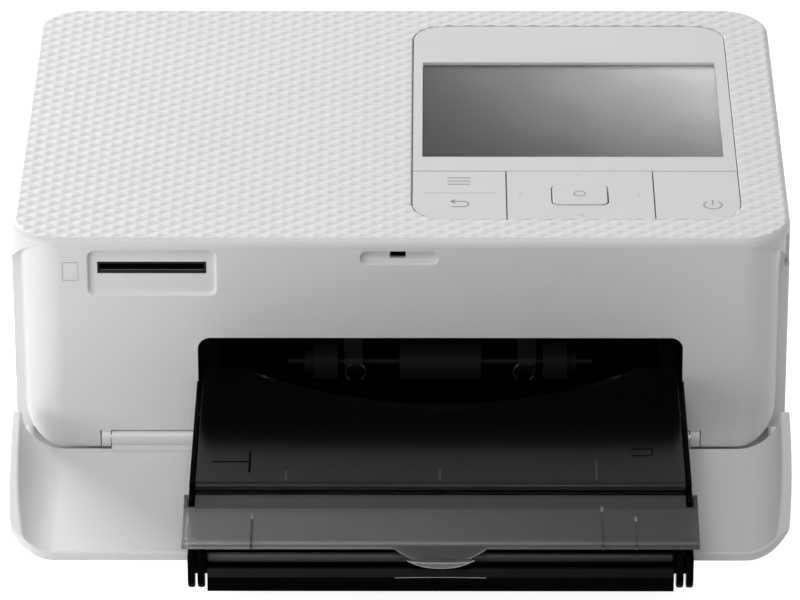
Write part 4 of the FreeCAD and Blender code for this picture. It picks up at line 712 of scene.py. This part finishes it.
def relief_depth(u, v):
    """How far the relief lies below its peaks."""
    reach = (fold(u) ** ridge_power + fold(v) ** ridge_power) ** (1 / ridge_power)
    reach = min(reach, 1.0)
    rounded = (1 - math.cos(math.pi * reach)) / 2
    return relief_height * ((1 - soft_share) * reach + soft_share * rounded)


def relief_spot(u, v):
    """The place on the top for a pair of slanted coordinates."""
    return (first_peak_x + half_cell_x * (u + v) / 2, first_peak_y + half_cell_y * (u - v) / 2)


print(f"valley depth {relief_depth(1, 0) / MM:.2f} mm, halfway {relief_depth(0.5, 0) / MM:.2f} mm")

# %% Cut the relief into the top panel
def relief_block(low, high, margin, floor_height):
    """A closed block whose upper side is the relief and which reaches past the top panel."""
    mesh = bmesh.new()
    corners = {}
    step = 2 / relief_steps

    def corner(i, j):
        """The corner of the sheet at these steps, made when it is first asked for."""
        if (i, j) not in corners:
            x, y = relief_spot(i * step, j * step)
            corners[i, j] = mesh.verts.new((x, y, high.z - relief_depth(i * step, j * step)))
        return corners[i, j]

    spread = [((x - first_peak_x) / half_cell_x, (y - first_peak_y) / half_cell_y)
              for x in (low.x - margin, high.x + margin) for y in (low.y - margin, high.y + margin)]
    u_steps = sorted(math.floor((x + y) / step) for x, y in spread)
    v_steps = sorted(math.floor((x - y) / step) for x, y in spread)
    for i in range(u_steps[0], u_steps[-1] + 1):
        for j in range(v_steps[0], v_steps[-1] + 1):
            x, y = relief_spot((i + 0.5) * step, (j + 0.5) * step)
            if not (low.x - margin < x < high.x + margin and low.y - margin < y < high.y + margin):
                continue
            a, b = corner(i, j), corner(i + 1, j)
            c, d = corner(i + 1, j + 1), corner(i, j + 1)
            towards_u = ((i + 0.5) * step + 1) % 2 - 1
            towards_v = ((j + 0.5) * step + 1) % 2 - 1
            ridge_runs_up = towards_u * towards_v > 0
            for triangle in ((a, b, c), (a, c, d)) if ridge_runs_up else ((a, b, d), (b, c, d)):
                mesh.faces.new(triangle)
    bmesh.ops.recalc_face_normals(mesh, faces=mesh.faces)
    rim = [edge for edge in mesh.edges if edge.is_boundary]
    wall = bmesh.ops.extrude_edge_only(mesh, edges=rim)["geom"]
    foot = [part for part in wall if isinstance(part, bmesh.types.BMVert)]
    for vertex in foot:
        vertex.co.z = floor_height
    lower_rim = [edge for edge in mesh.edges if edge.is_boundary]
    bmesh.ops.contextual_create(mesh, geom=lower_rim)
    bmesh.ops.recalc_face_normals(mesh, faces=mesh.faces)
    return mesh


def keep_shared(made, tool):
    """Keeps what the piece shares with the tool, applied to its mesh."""
    cut = made.modifiers.new("keep what is shared", "BOOLEAN")
    cut.operation, cut.solver, cut.object = "INTERSECT", "MANIFOLD", tool
    bpy.context.view_layer.update()
    done = made.evaluated_get(bpy.context.evaluated_depsgraph_get())
    data = bpy.data.meshes.new_from_object(done)
    made.modifiers.clear()
    made.data = data
    bpy.data.objects.remove(tool)


panel_low, panel_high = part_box("top_panel")
block_margin = 3 * MM
relief_tool = as_object("relief_tool", relief_block(panel_low, panel_high, block_margin,
                                                    panel_low.z - block_margin),
                        finishes["relief_top"])
relief_top = as_object("top_panel_relief", welded("top_panel"), finishes["relief_top"])
keep_shared(relief_top, relief_tool)
seam_gap, skirt_drop = 0.2 * MM, 0.17 * MM
skirt_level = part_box("front_panel")[1].z + seam_gap
lowered = [corner for corner in relief_top.data.vertices
           if abs(corner.co.z - skirt_level) < level_room]
for corner in lowered:
    corner.co.z -= skirt_drop
smooth(relief_top, relief_sharp_angle)
dress(relief_top, "top_panel")
print(f"{relief_top.name}: {len(relief_top.data.polygons)} faces")

# %% [markdown]
# ## Marks on the control panel
# The keys carry small printed marks. Three bars stand for the menu, an arrow that turns back for
# the way back, four small arrows for the directions, a ring for the middle key and the usual
# broken ring for power. Ink has a thickness of its own, so each mark is a ribbon a few hundredths
# of a millimetre high, which rides on the key that it is printed on. A ribbon is made from a
# list of points in the plane, with a left and a right side half its width away.

# %% Ink and ribbons
ink_rise = 0.03 * MM
key_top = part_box("menu_back_key")[1].z
printed_grey = moulded("printed grey ink", (0.33, 0.33, 0.34), 0.5, drift=0.05)
faint_grey = moulded("faint printed ink", (0.56, 0.56, 0.57), 0.5, drift=0.05)


def skin_rings(mesh, rings, closed=False):
    """Faces between neighbouring rings of corners, and one over each end if it isn't a loop."""
    sides = len(rings[0])
    pairs = list(zip(rings, rings[1:]))
    if closed:
        pairs.append((rings[-1], rings[0]))
    else:
        mesh.faces.new(rings[0])
        mesh.faces.new(rings[-1])
    for one, two in pairs:
        for k in range(sides):
            mesh.faces.new((one[k], one[(k + 1) % sides], two[(k + 1) % sides], two[k]))


def ribbon(mesh, points, width, low, high, closed=False):
    """A flat ribbon along plane points, added to the mesh, from the low to the high level."""
    count = len(points)
    rings = []
    for index, point in enumerate(points):
        before = points[index - 1] if closed or index else point
        after = points[(index + 1) % count] if closed or index + 1 < count else point
        along = (Vector(after) - Vector(before)).normalized()
        side = Vector((-along.y, along.x)) * width / 2
        left, right_side = Vector(point) + side, Vector(point) - side
        rings.append([mesh.verts.new((spot.x, spot.y, level))
                      for spot, level in ((left, low), (right_side, low),
                                          (right_side, high), (left, high))])
    skin_rings(mesh, rings, closed)


def arc(centre, radius, start, end, steps=24):
    """Points on a circle's arc, in degrees."""
    angles = [math.radians(start + (end - start) * k / steps) for k in range(steps + 1)]
    return [(centre[0] + radius * math.cos(a), centre[1] + radius * math.sin(a)) for a in angles]


def printed(name, strokes, node, ink, level=key_top, closed=False):
    """Strokes are (points, width). The mark rides on the node's body."""
    mesh = bmesh.new()
    for points, width in strokes:
        ribbon(mesh, points, width, level, level + ink_rise, closed)
    bmesh.ops.recalc_face_normals(mesh, faces=mesh.faces)
    made = as_object(name, mesh, ink)
    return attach(made, frame["nodes"][node]["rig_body"])


print(f"keys' upper side at {key_top / MM:.2f} mm")

# %% Print the marks
stroke, fine_stroke, ring_stroke, power_stroke = 0.42 * MM, 0.25 * MM, 0.32 * MM, 0.36 * MM
menu_x, menu_y, menu_width, bar_pitch = 13.7 * MM, 3.5 * MM, 5.4 * MM, 1.7 * MM
menu_lines = [([(menu_x - menu_width / 2, menu_y + k * bar_pitch),
                (menu_x + menu_width / 2, menu_y + k * bar_pitch)], stroke) for k in (-1, 0, 1)]
printed("menu_bars", menu_lines, "menu_back_key", printed_grey)

rule_left, rule_right, rule_y = 5.5 * MM, 22.6 * MM, -2.9 * MM
printed("key_rule", [([(rule_left, rule_y), (rule_right, rule_y)], fine_stroke)],
        "menu_back_key", faint_grey)

back_x, back_y, back_bend, back_arm = 14.6 * MM, -8.8 * MM, 1.35 * MM, 2.7 * MM
back_head = 0.95 * MM
tip = (back_x - back_arm, back_y + back_bend)
tail = (back_x - back_arm, back_y - back_bend)
hook = [tip] + arc((back_x, back_y), back_bend, 90, -90) + [tail]
barbs = [([(tip[0] + back_head, tip[1] + back_head), tip], stroke),
         ([(tip[0] + back_head, tip[1] - back_head), tip], stroke)]
printed("back_arrow", [(hook, stroke)] + barbs, "menu_back_key", printed_grey)

pad_x, pad_y = 42.1 * MM, -3.9 * MM
pad_reach_x, pad_reach_y, chevron = 13.6 * MM, 10.3 * MM, 0.75 * MM


def chevron_strokes(x, y, turn_x, turn_y):
    """A small open arrowhead at x, y that points along (turn_x, turn_y)."""
    tip_x, tip_y = x + turn_x * chevron, y + turn_y * chevron
    start = (x + turn_y * chevron, y + turn_x * chevron)
    end = (x - turn_y * chevron, y - turn_x * chevron)
    return [([start, (tip_x, tip_y), end], fine_stroke)]


heads = []
for turn_x, turn_y in ((1, 0), (-1, 0), (0, 1), (0, -1)):
    heads += chevron_strokes(pad_x + turn_x * pad_reach_x, pad_y + turn_y * pad_reach_y,
                             turn_x, turn_y)
printed("direction_marks", heads, "nav_pad", faint_grey)

ok_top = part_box("ok_button")[1].z
ok_ring, ok_shift, ok_ring_end, ok_ring_steps = 1.35 * MM, 0.3 * MM, 345, 30
ok_points = arc((pad_x, pad_y + ok_shift), ok_ring, 0, ok_ring_end, ok_ring_steps)
printed("middle_ring", [(ok_points, ring_stroke)], "ok_button", printed_grey, level=ok_top)

power_x, power_y, power_ring = 73.2 * MM, -9.2 * MM, 2.1 * MM
power_start, power_end, power_steps = 128, 412, 36
power_bar_low, power_bar_past = 0.2 * MM, 0.5 * MM
power_points = arc((power_x, power_y), power_ring, power_start, power_end, power_steps)
power_bar = [(power_x, power_y + power_bar_low),
             (power_x, power_y + power_ring + power_bar_past)]
printed("power_mark", [(power_points, power_stroke), (power_bar, power_stroke)], "power_key",
        printed_grey)
print("marks: menu bars, rule, back arrow, four directions, middle ring, power")

# %% [markdown]
# ## Ribs and guide marks of the tray
# The smoked lid is not a bare slab. It has short stiffening ribs near its front edge, and guide
# marks that tell where the sheet goes. The clear flap has three upright ribs, which run over its
# bend and down to its foot. On the real mouldings they are raised by a few tenths of a
# millimetre, so they are thin solids here that sit on the surface. A rib of clear plastic looks dark
# along its length and pale where it ends, so both are painted: each rib of the flap is dark grey
# along its length, a painted shade, with a pale cap at both ends, a painted highlight.

# %% Ribs on the lid
lid_rib_width, lid_rib_rise, lid_rib_sink = 0.5 * MM, 0.25 * MM, 0.1 * MM
# Each rib has its place beside the middle, its rear end and its front end.
lid_ribs = {"left": (-35.1 * MM, -74.7 * MM, -79.6 * MM),
            "middle": (-0.2 * MM, -74.1 * MM, -79.6 * MM),
            "right": (35.4 * MM, -70.0 * MM, -79.4 * MM)}
mark_width, mark_depth, mark_rise = 0.55 * MM, 0.12 * MM, 0.02 * MM


def small_piece(name, mesh, finish, node, rounded=False):
    """The mesh as a piece of its own that rides on the node's body."""
    made = as_object(name, mesh, finishes[finish])
    if rounded:
        smooth(made)
    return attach(made, frame["nodes"][node]["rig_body"])


def flat_marks(name, strokes, low, high, finish, node):
    """Ribbons of (points, width) between two levels, riding with the node."""
    mesh = bmesh.new()
    for points, width in strokes:
        ribbon(mesh, points, width, low, high)
    bmesh.ops.recalc_face_normals(mesh, faces=mesh.faces)
    return small_piece(name, mesh, finish, node)


rib_strokes = [([(feed_x + side, rear), (feed_x + side, front)], lid_rib_width)
               for side, rear, front in lid_ribs.values()]
# The lid's ribs are the same dark grey.
flat_marks("lid_ribs", rib_strokes, lid_high.z - lid_rib_sink, lid_high.z + lid_rib_rise,
           "rib_tone_and_shade", "tray_lid")

tee_left, tee_right, tee_y, tee_arm = -42.8 * MM, -34.1 * MM, -70.2 * MM, 5.0 * MM
hook_left, hook_right, hook_rear, hook_front = 53.0 * MM, 57.7 * MM, -64.0 * MM, -67.2 * MM
guide_strokes = [
    ([(tee_left, tee_y), (tee_right, tee_y)], mark_width),
    ([(tee_right, tee_y - tee_arm), (tee_right, tee_y + tee_arm)], mark_width),
    ([(hook_left, hook_rear), (hook_right, hook_rear), (hook_right, hook_front),
      (hook_left, hook_front)], mark_width)]
flat_marks("lid_guide_marks", guide_strokes, lid_high.z - mark_depth, lid_high.z + mark_rise,
           "tray_black", "tray_lid")
print(f"{len(rib_strokes)} lid ribs, {len(guide_strokes)} guide marks")

# %% Ribs on the flap, with painted shade and painted highlights
flap_low, flap_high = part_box("tray_flap")
flap_inset, flap_reach, flap_lean, flap_bend_r = 0.8 * MM, 17.0 * MM, 2.0 * MM, 2.5 * MM
flap_near_y = flap_high.y - flap_inset
flap_bend_y = flap_near_y - flap_reach
flap_foot_y = flap_bend_y - flap_lean
flap_near_z, flap_bend_z, flap_edge_z, flap_foot_z = 19.9 * MM, 17.2 * MM, 15.6 * MM, 12.4 * MM
flap_rib_width, flap_rib_rise, rib_end_share = 0.5 * MM, 0.35 * MM, 0.15
# Each rib has its place beside the middle and its rear end.
flap_ribs = {"left": (-42.45 * MM, -89.0 * MM), "inner_right": (36.4 * MM, -86.2 * MM),
             "outer_right": (43.95 * MM, -89.8 * MM)}


def flap_section(start_y, steps=8):
    """Points (y, z) on the flap's outer side, from start_y over the bend to the foot."""
    slope = (flap_near_z - flap_bend_z) / (flap_near_y - flap_bend_y)
    start = Vector((start_y, flap_near_z + (start_y - flap_near_y) * slope))
    corner, foot = Vector((flap_bend_y, flap_bend_z)), Vector((flap_foot_y, flap_foot_z))
    to_start, to_foot = (start - corner).normalized(), (foot - corner).normalized()
    half = to_start.angle(to_foot) / 2
    tangent = flap_bend_r / math.tan(half)
    centre = corner + (to_start + to_foot).normalized() * (flap_bend_r / math.sin(half))
    first, last = corner + to_start * tangent - centre, corner + to_foot * tangent - centre
    sweep = first.angle_signed(last)
    bend = []
    for k in range(steps + 1):
        turned = -sweep * k / steps
        c, s = math.cos(turned), math.sin(turned)
        bend.append(centre + Vector((first.x * c - first.y * s, first.x * s + first.y * c)))
    share = (flap_edge_z - bend[-1].y) / (foot.y - bend[-1].y)
    return [start] + bend + [bend[-1].lerp(foot, share)]


def upright_rib(mesh, x, points, width, rise):
    """A thin rib along (y, z) points, standing out by `rise` from the surface."""
    rings = []
    for index, point in enumerate(points):
        before, after = points[max(index - 1, 0)], points[min(index + 1, len(points) - 1)]
        along = (after - before).normalized()
        out = Vector((along.y, -along.x))
        if out.x > 0:
            out = -out
        lift = rise if 0 < index < len(points) - 1 else rib_end_share * rise
        inner, outer = point - out * rise, point + out * lift
        rings.append([mesh.verts.new((x + side, spot.x, spot.y))
                      for side, spot in ((-width / 2, inner), (width / 2, inner),
                                         (width / 2, outer), (-width / 2, outer))])
    skin_rings(mesh, rings)


def rib_set(name, finish, sections, width, rise):
    """One piece of several upright ribs that rides on the flap's body."""
    mesh = bmesh.new()
    for x, points in sections:
        upright_rib(mesh, x, points, width, rise)
    bmesh.ops.recalc_face_normals(mesh, faces=mesh.faces)
    return small_piece(name, mesh, finish, "tray_flap")


cap_length, cap_rise, cap_width, cap_points = 2.0 * MM, 0.42 * MM, 0.6 * MM, 3
whole, caps = [], []
for offset, start_y in flap_ribs.values():
    section = flap_section(start_y)
    whole.append((feed_x + offset, section))
    down = (section[1] - section[0]).normalized() * cap_length
    caps.append((feed_x + offset, [section[0], section[0] + down / 2, section[0] + down]))
    caps.append((feed_x + offset, section[-cap_points:]))
# The ribs' dark grey along their length is painted shade; their pale caps are painted highlights.
rib_set("flap_ribs", "rib_tone_and_shade", whole, flap_rib_width, flap_rib_rise)
rib_set("flap_rib_ends", "rib_end_highlight", caps, cap_width, cap_rise)
print(f"{len(flap_ribs)} flap ribs over a bend of {flap_bend_r / MM:.1f} mm")

# %% [markdown]
# ## Wire clips at the pickup shaft
# Two small hoops of spring wire hold the pickup shaft in its arms. Each hoop is open above and
# below, so it is made of two arcs. A small circle is carried along the points of each arc and
# squared to it at every step. Bare wire turns to the light at every angle, so a few glints show
# in the dark mouth. The same helper makes the painted highlights on the grip's rims that come next.

# %% Bend the clips
arms_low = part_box("pickup_arms")[0]
clip_places = (-10.7 * MM, 29.1 * MM)
clip_z, clip_radius, clip_wire = 16.3 * MM, 2.4 * MM, 0.2 * MM
# The arcs are given in degrees, turning up from the right.
clip_spans = ((-50, 60), (120, 230))
clip_step = 10
wire_sides = 8


def wire(mesh, points, radius):
    """A round wire along the points, closed at both ends."""
    rings = []
    for k, point in enumerate(points):
        along = (points[min(k + 1, len(points) - 1)] - points[max(k - 1, 0)]).normalized()
        side = along.cross(Vector((0, 1, 0))).normalized()
        up = along.cross(side)
        turns = [2 * math.pi * m / wire_sides for m in range(wire_sides)]
        rings.append([mesh.verts.new(point + (side * math.cos(turn) + up * math.sin(turn)) * radius)
                      for turn in turns])
    skin_rings(mesh, rings)


def bent_wires(name, paths, radius, finish, node):
    """One piece of several wires that rides on the node's body."""
    mesh = bmesh.new()
    for points in paths:
        wire(mesh, points, radius)
    bmesh.ops.recalc_face_normals(mesh, faces=mesh.faces)
    return small_piece(name, mesh, finish, node, rounded=True)


clip_paths = []
for clip_x in clip_places:
    centre = Vector((clip_x, arms_low.y + clip_wire, clip_z))
    for first, last in clip_spans:
        turns = [math.radians(turn) for turn in range(first, last + 1, clip_step)]
        clip_paths.append([centre + Vector((math.cos(turn), 0, math.sin(turn))) * clip_radius
                           for turn in turns])
bent_wires("shaft_clips", clip_paths, clip_wire, "clip_wire", "pickup_arms")
print(f"wire clips at y = {arms_low.y / MM:.1f} mm")

# %% [markdown]
# ## Painted highlights on the rims of the finger grip
# The flap's grip is a clear lens-shaped lip. A clear edge gathers light from all round, so on the
# real one both of its rims shine. That shine is painted here: each rim is a fine pale bead that
# follows the lip, the lower one along the arc that the foot is cut to, the upper one along the oval
# of the ledge.

# %% Painted highlight beads on the grip
grip_half, grip_reach_y, grip_depth, grip_height = 10.4 * MM, flap_low.y, 2.7 * MM, 1.4 * MM
grip_drop = flap_edge_z - flap_foot_z
grip_round = (grip_half ** 2 + grip_drop ** 2) / (2 * grip_drop)
bead_steps, bead_radius, bead_out, bead_up = 24, 0.13 * MM, 0.4, 0.6
low_bead_share, high_bead_share = 0.72, 0.62


def grip_bead(share, rise):
    """Points along the lip's oval between plus and minus this share of its half width."""
    points = []
    for k in range(bead_steps + 1):
        across = (2 * k / bead_steps - 1) * share
        y = grip_reach_y + grip_depth * (1 - math.sqrt(1 - across ** 2)) - bead_radius * bead_out
        cut = flap_foot_z + grip_round - math.sqrt(grip_round ** 2 - (across * grip_half) ** 2)
        z = max(flap_foot_z + rise, cut + bead_radius * bead_up)
        points.append(Vector((feed_x + across * grip_half, max(y, grip_reach_y + bead_radius), z)))
    return points


grip_paths = [grip_bead(low_bead_share, 0.0), grip_bead(high_bead_share, grip_height)]
# Painted highlights along both rims of the grip.
bent_wires("grip_highlight_beads", grip_paths, bead_radius, "highlight_bead", "tray_flap")
print(f"grip beads {2 * bead_radius / MM:.2f} mm thick, the foot's arc has {grip_round / MM:.1f} mm radius")

# %% [markdown]
# ## Small bodies of the tray's front and of the card slot
# The tray's front wall has a lip that shows as a paler band under the flap, its pale grey a painted
# reflection, and its bar a fine ledge half way up whose grey face is a painted reflection too, with
# a painted glint along its lower edge. Dark webs close the gaps behind the lobes.
# A black bezel sits in the card recess, a card's thickness open in the middle, under a white
# lintel; its black is painted shade, standing in for the dark inside the slot. All but the glint are
# plain bars with a round on every edge, so one function makes them from pairs of limits.

# %% Lip, ledge and webs of the tray
bar_segments = 3


def bars(name, spans, finish, node, edge):
    """Bars given by (x, x, y, y, z, z), with rounded edges, that ride on the node's body."""
    mesh = bmesh.new()
    for x0, x1, y0, y1, z0, z1 in spans:
        corners = [mesh.verts.new((x, y, z)) for x in (x0, x1) for y in (y0, y1) for z in (z0, z1)]
        for ring in ((0, 1, 3, 2), (4, 6, 7, 5), (0, 4, 5, 1), (2, 3, 7, 6), (0, 2, 6, 4),
                     (1, 5, 7, 3)):
            mesh.faces.new([corners[k] for k in ring])
    bmesh.ops.recalc_face_normals(mesh, faces=mesh.faces)
    round_edges(mesh, list(mesh.edges), edge, bar_segments)
    return small_piece(name, mesh, finish, node, rounded=True)


tray_half = 52.35 * MM
tray_left, tray_right = feed_x - tray_half, feed_x + tray_half
lip_rear, lip_front, lip_low, lip_high = -97.2 * MM, -98.7 * MM, 11.7 * MM, 13.7 * MM
lip_round, ledge_round, web_round = 0.5 * MM, 0.15 * MM, 0.2 * MM
# Painted reflection: the lip's paler grey band.
bars("tray_front_lip", [(tray_left, tray_right, lip_front, lip_rear, lip_low, lip_high)],
     "lip_reflection_grey", "tray_base", lip_round)

# Painted reflection: the ledge's grey face.
ledge_rear, ledge_front, ledge_low, ledge_high = -100.8 * MM, -101.28 * MM, 9.35 * MM, 11.5 * MM
bars("tray_bar_ledge",
     [(tray_left, tray_right, ledge_front, ledge_rear, ledge_low, ledge_high)],
     "bar_reflection_grey", "tray_base", ledge_round)

# Painted glint: a pale bead along the ledge's lower edge.
glint_half, glint_bow, glint_z, glint_radius = 10.2 * MM, 0.15 * MM, 9.3 * MM, 0.07 * MM
glint = []
for k in range(bead_steps + 1):
    across = 2 * k / bead_steps - 1
    glint.append(Vector((feed_x + across * glint_half, ledge_front,
                         glint_z + glint_bow * (1 - across ** 2))))
bent_wires("tray_bar_painted_glint", [glint], glint_radius, "highlight_bead", "tray_base")

web_far, web_low, web_high = 56.7 * MM, 7.5 * MM, 14.8 * MM
web_rear, web_front = -95.5 * MM, -96.3 * MM
bars("lobe_webs", [(feed_x - web_far, tray_left, web_front, web_rear, web_low, web_high),
                   (tray_right, feed_x + web_far, web_front, web_rear, web_low, web_high)],
     "tray_black", "tray_base", web_round)
print(f"lip, ledge and webs across {2 * tray_half / MM:.1f} mm")

# %% Bezel and lintel of the card slot; the bezel's black is painted shade
bezel_round, lintel_round, lintel_inset = 0.12 * MM, 0.05 * MM, 0.1 * MM
bezel_left, bezel_right, bezel_low, bezel_high = -70.45 * MM, -45.15 * MM, 48.25 * MM, 51.22 * MM
bezel_front, bezel_rear, bezel_side, bezel_sill = -27.05 * MM, -26.6 * MM, 0.5 * MM, 0.75 * MM
# Painted shade: the black bezel stands in for the dark inside the slot.
bars("card_slot_shade_bezel", [
    (bezel_left, bezel_right, bezel_front, bezel_rear, bezel_low, bezel_low + bezel_sill),
    (bezel_left, bezel_right, bezel_front, bezel_rear, bezel_high - bezel_side, bezel_high),
    (bezel_left, bezel_left + bezel_side, bezel_front, bezel_rear, bezel_low, bezel_high),
    (bezel_right - bezel_side, bezel_right, bezel_front, bezel_rear, bezel_low, bezel_high)],
    "black_frame", "front_panel", bezel_round)
lintel_high = 51.75 * MM
bars("card_lintel",
     [(bezel_left, bezel_right, bezel_front + lintel_inset, bezel_rear, bezel_high, lintel_high)],
     "white_shell", "front_panel", lintel_round)
print(f"bezel {(bezel_right - bezel_left) / MM:.1f} mm wide, with its lintel")

# %% [markdown]
# ## Floor, backdrop and lamps
# A studio sweep gives a white ground with only a soft shadow. The floor here has its real, pale
# diffuse surface. Rays that go straight from the camera also see a steady glow in it, which lifts
# it to white, and where the printer shades it the diffuse part drops and the shadow shows. The
# glow fades out under the case, so that the gap below it stays dark. The world is white to the
# camera and to reflections, and a gentler fill to everything else.

# %% Floor and world
floor_reach = 6.0
floor_glow = 0.92
fill_level = 0.164
shade_edge = 4 * MM
case_low, case_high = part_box("front_panel")[0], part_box("rear_panel")[1]
case_middle, case_half = (case_low + case_high) / 2, (case_high - case_low) / 2


def shown_background(tree):
    """A wire that is 1 for rays from the camera, and for those that gloss or glass sends on."""
    rays = add(tree, "ShaderNodeLightPath")
    seen = add(tree, "ShaderNodeMath", {0: rays.outputs["Is Camera Ray"],
                                        1: rays.outputs["Is Glossy Ray"]}, operation="MAXIMUM")
    through = add(tree, "ShaderNodeMath", {0: seen.outputs[0],
                                           1: rays.outputs["Is Transmission Ray"]},
                  operation="MAXIMUM")
    return through.outputs[0]


def build_floor():
    """The wide floor, which glows to the camera and still shows the printer's shadow."""
    mesh = bmesh.new()
    bmesh.ops.create_grid(mesh, x_segments=4, y_segments=4, size=floor_reach)
    material, tree, shader = new_material("studio floor")
    skin = place(tree, mould_grain, Size=2 * MM, Roughness=0.9, Spread=0.05)
    tone = place(tree, slow_drift, Colour=(0.86, 0.86, 0.86, 1), Amount=0.004, Patch=0.2)
    shown = shown_background(tree)
    where = add(tree, "ShaderNodeTexCoord").outputs["Object"]
    from_middle = add(tree, "ShaderNodeVectorMath", {0: where, 1: tuple(case_middle)},
                      operation="SUBTRACT")
    size = add(tree, "ShaderNodeVectorMath", {0: from_middle.outputs["Vector"]},
               operation="ABSOLUTE")
    past = add(tree, "ShaderNodeVectorMath", {0: size.outputs["Vector"], 1: tuple(case_half)},
               operation="SUBTRACT")
    split = add(tree, "ShaderNodeSeparateXYZ", {"Vector": past.outputs["Vector"]})
    outside = add(tree, "ShaderNodeMath", {0: split.outputs["X"], 1: split.outputs["Y"]},
                  operation="MAXIMUM")
    open_floor = add(tree, "ShaderNodeMapRange",
                     {"Value": outside.outputs[0], "From Min": -shade_edge, "From Max": 0.0})
    lit = add(tree, "ShaderNodeMath", {0: shown, 1: open_floor.outputs["Result"]},
              operation="MULTIPLY")
    glow = add(tree, "ShaderNodeMath", {0: lit.outputs[0], 1: floor_glow}, operation="MULTIPLY")
    tree.links.new(tone["Colour"], shader.inputs["Base Color"])
    tree.links.new(skin["Roughness"], shader.inputs["Roughness"])
    shader.inputs["Emission Color"].default_value = (1, 1, 1, 1)
    tree.links.new(glow.outputs[0], shader.inputs["Emission Strength"])
    shader.inputs["Specular IOR Level"].default_value = 0.0
    floor = as_object("studio_floor", mesh, material)
    floor.location.z = cad_low.z
    return floor


def build_world():
    """The light from all round: white to be seen, gentle as a fill."""
    world = bpy.data.worlds.new("studio")
    bpy.context.scene.world = world
    world.use_nodes = True
    tree = world.node_tree
    ground = tree.nodes["Background"]
    level = add(tree, "ShaderNodeMapRange", {"Value": shown_background(tree),
                                             "To Min": fill_level, "To Max": 1.0})
    ground.inputs["Color"].default_value = (1, 1, 1, 1)
    tree.links.new(level.outputs["Result"], ground.inputs["Strength"])
    return world


build_floor()
build_world()
print(f"floor {2 * floor_reach:.0f} m wide, fill light {fill_level}")

# %% [markdown]
# ## Five soft boxes
# The strongest box stands behind the printer on the left, low enough to rake across the relief:
# each facet that leans towards it is bright, and the one behind its ridge is grey. A second one
# high in front lights the face and the open cover, and a third straight above evens things out.
# Two small ones stand in front on the left. They make the left corner bright and let the face
# fall off to grey towards the right. The nearer one stays below the level of the top, so that it
# can't flatten the relief. All stay at a level where white plastic comes out a little under
# white, with no patch clipped.

# %% Lamps
def soft_box(name, where, aim, width, height, power):
    """A flat lamp of this size that looks at its aim and isn't seen itself."""
    light = bpy.data.lights.new(name, "AREA")
    light.shape = "RECTANGLE"
    light.size, light.size_y, light.energy = width, height, power
    lamp = bpy.data.objects.new(name, light)
    bpy.context.scene.collection.objects.link(lamp)
    lamp.location = where
    lamp.rotation_euler = (Vector(aim) - Vector(where)).to_track_quat("-Z", "Y").to_euler()
    lamp.visible_camera = False
    return lamp


# Each box has its place and its aim, its width and height in metres, and its power in watts.
soft_boxes = {
    "rear_left": ((-0.55, 0.85, 0.60), (0.0, 0.0, 0.05), 0.4, 0.4, 8.27),
    "high_front": ((-0.10, -0.55, 1.10), (0.0, 0.0, 0.03), 0.5, 0.5, 4.35),
    "overhead": ((0.0, 0.10, 1.10), (0.0, 0.0, 0.03), 0.6, 0.6, 0.79),
    "front_left": ((-0.45, -0.35, 0.25), (0.0, 0.0, 0.03), 0.25, 0.25, 0.39),
    "left_close": ((-0.30, -0.14, 0.03), (-0.06, -0.03, 0.03), 0.32, 0.05, 0.235),
}
for lamp_name, (lamp_place, lamp_aim, lamp_wide, lamp_tall, lamp_power) in soft_boxes.items():
    soft_box(f"{lamp_name}_soft_box", lamp_place, lamp_aim, lamp_wide, lamp_tall, lamp_power)
print(f"{len(soft_boxes)} soft boxes, {sum(box[-1] for box in soft_boxes.values()):.2f} W in all")
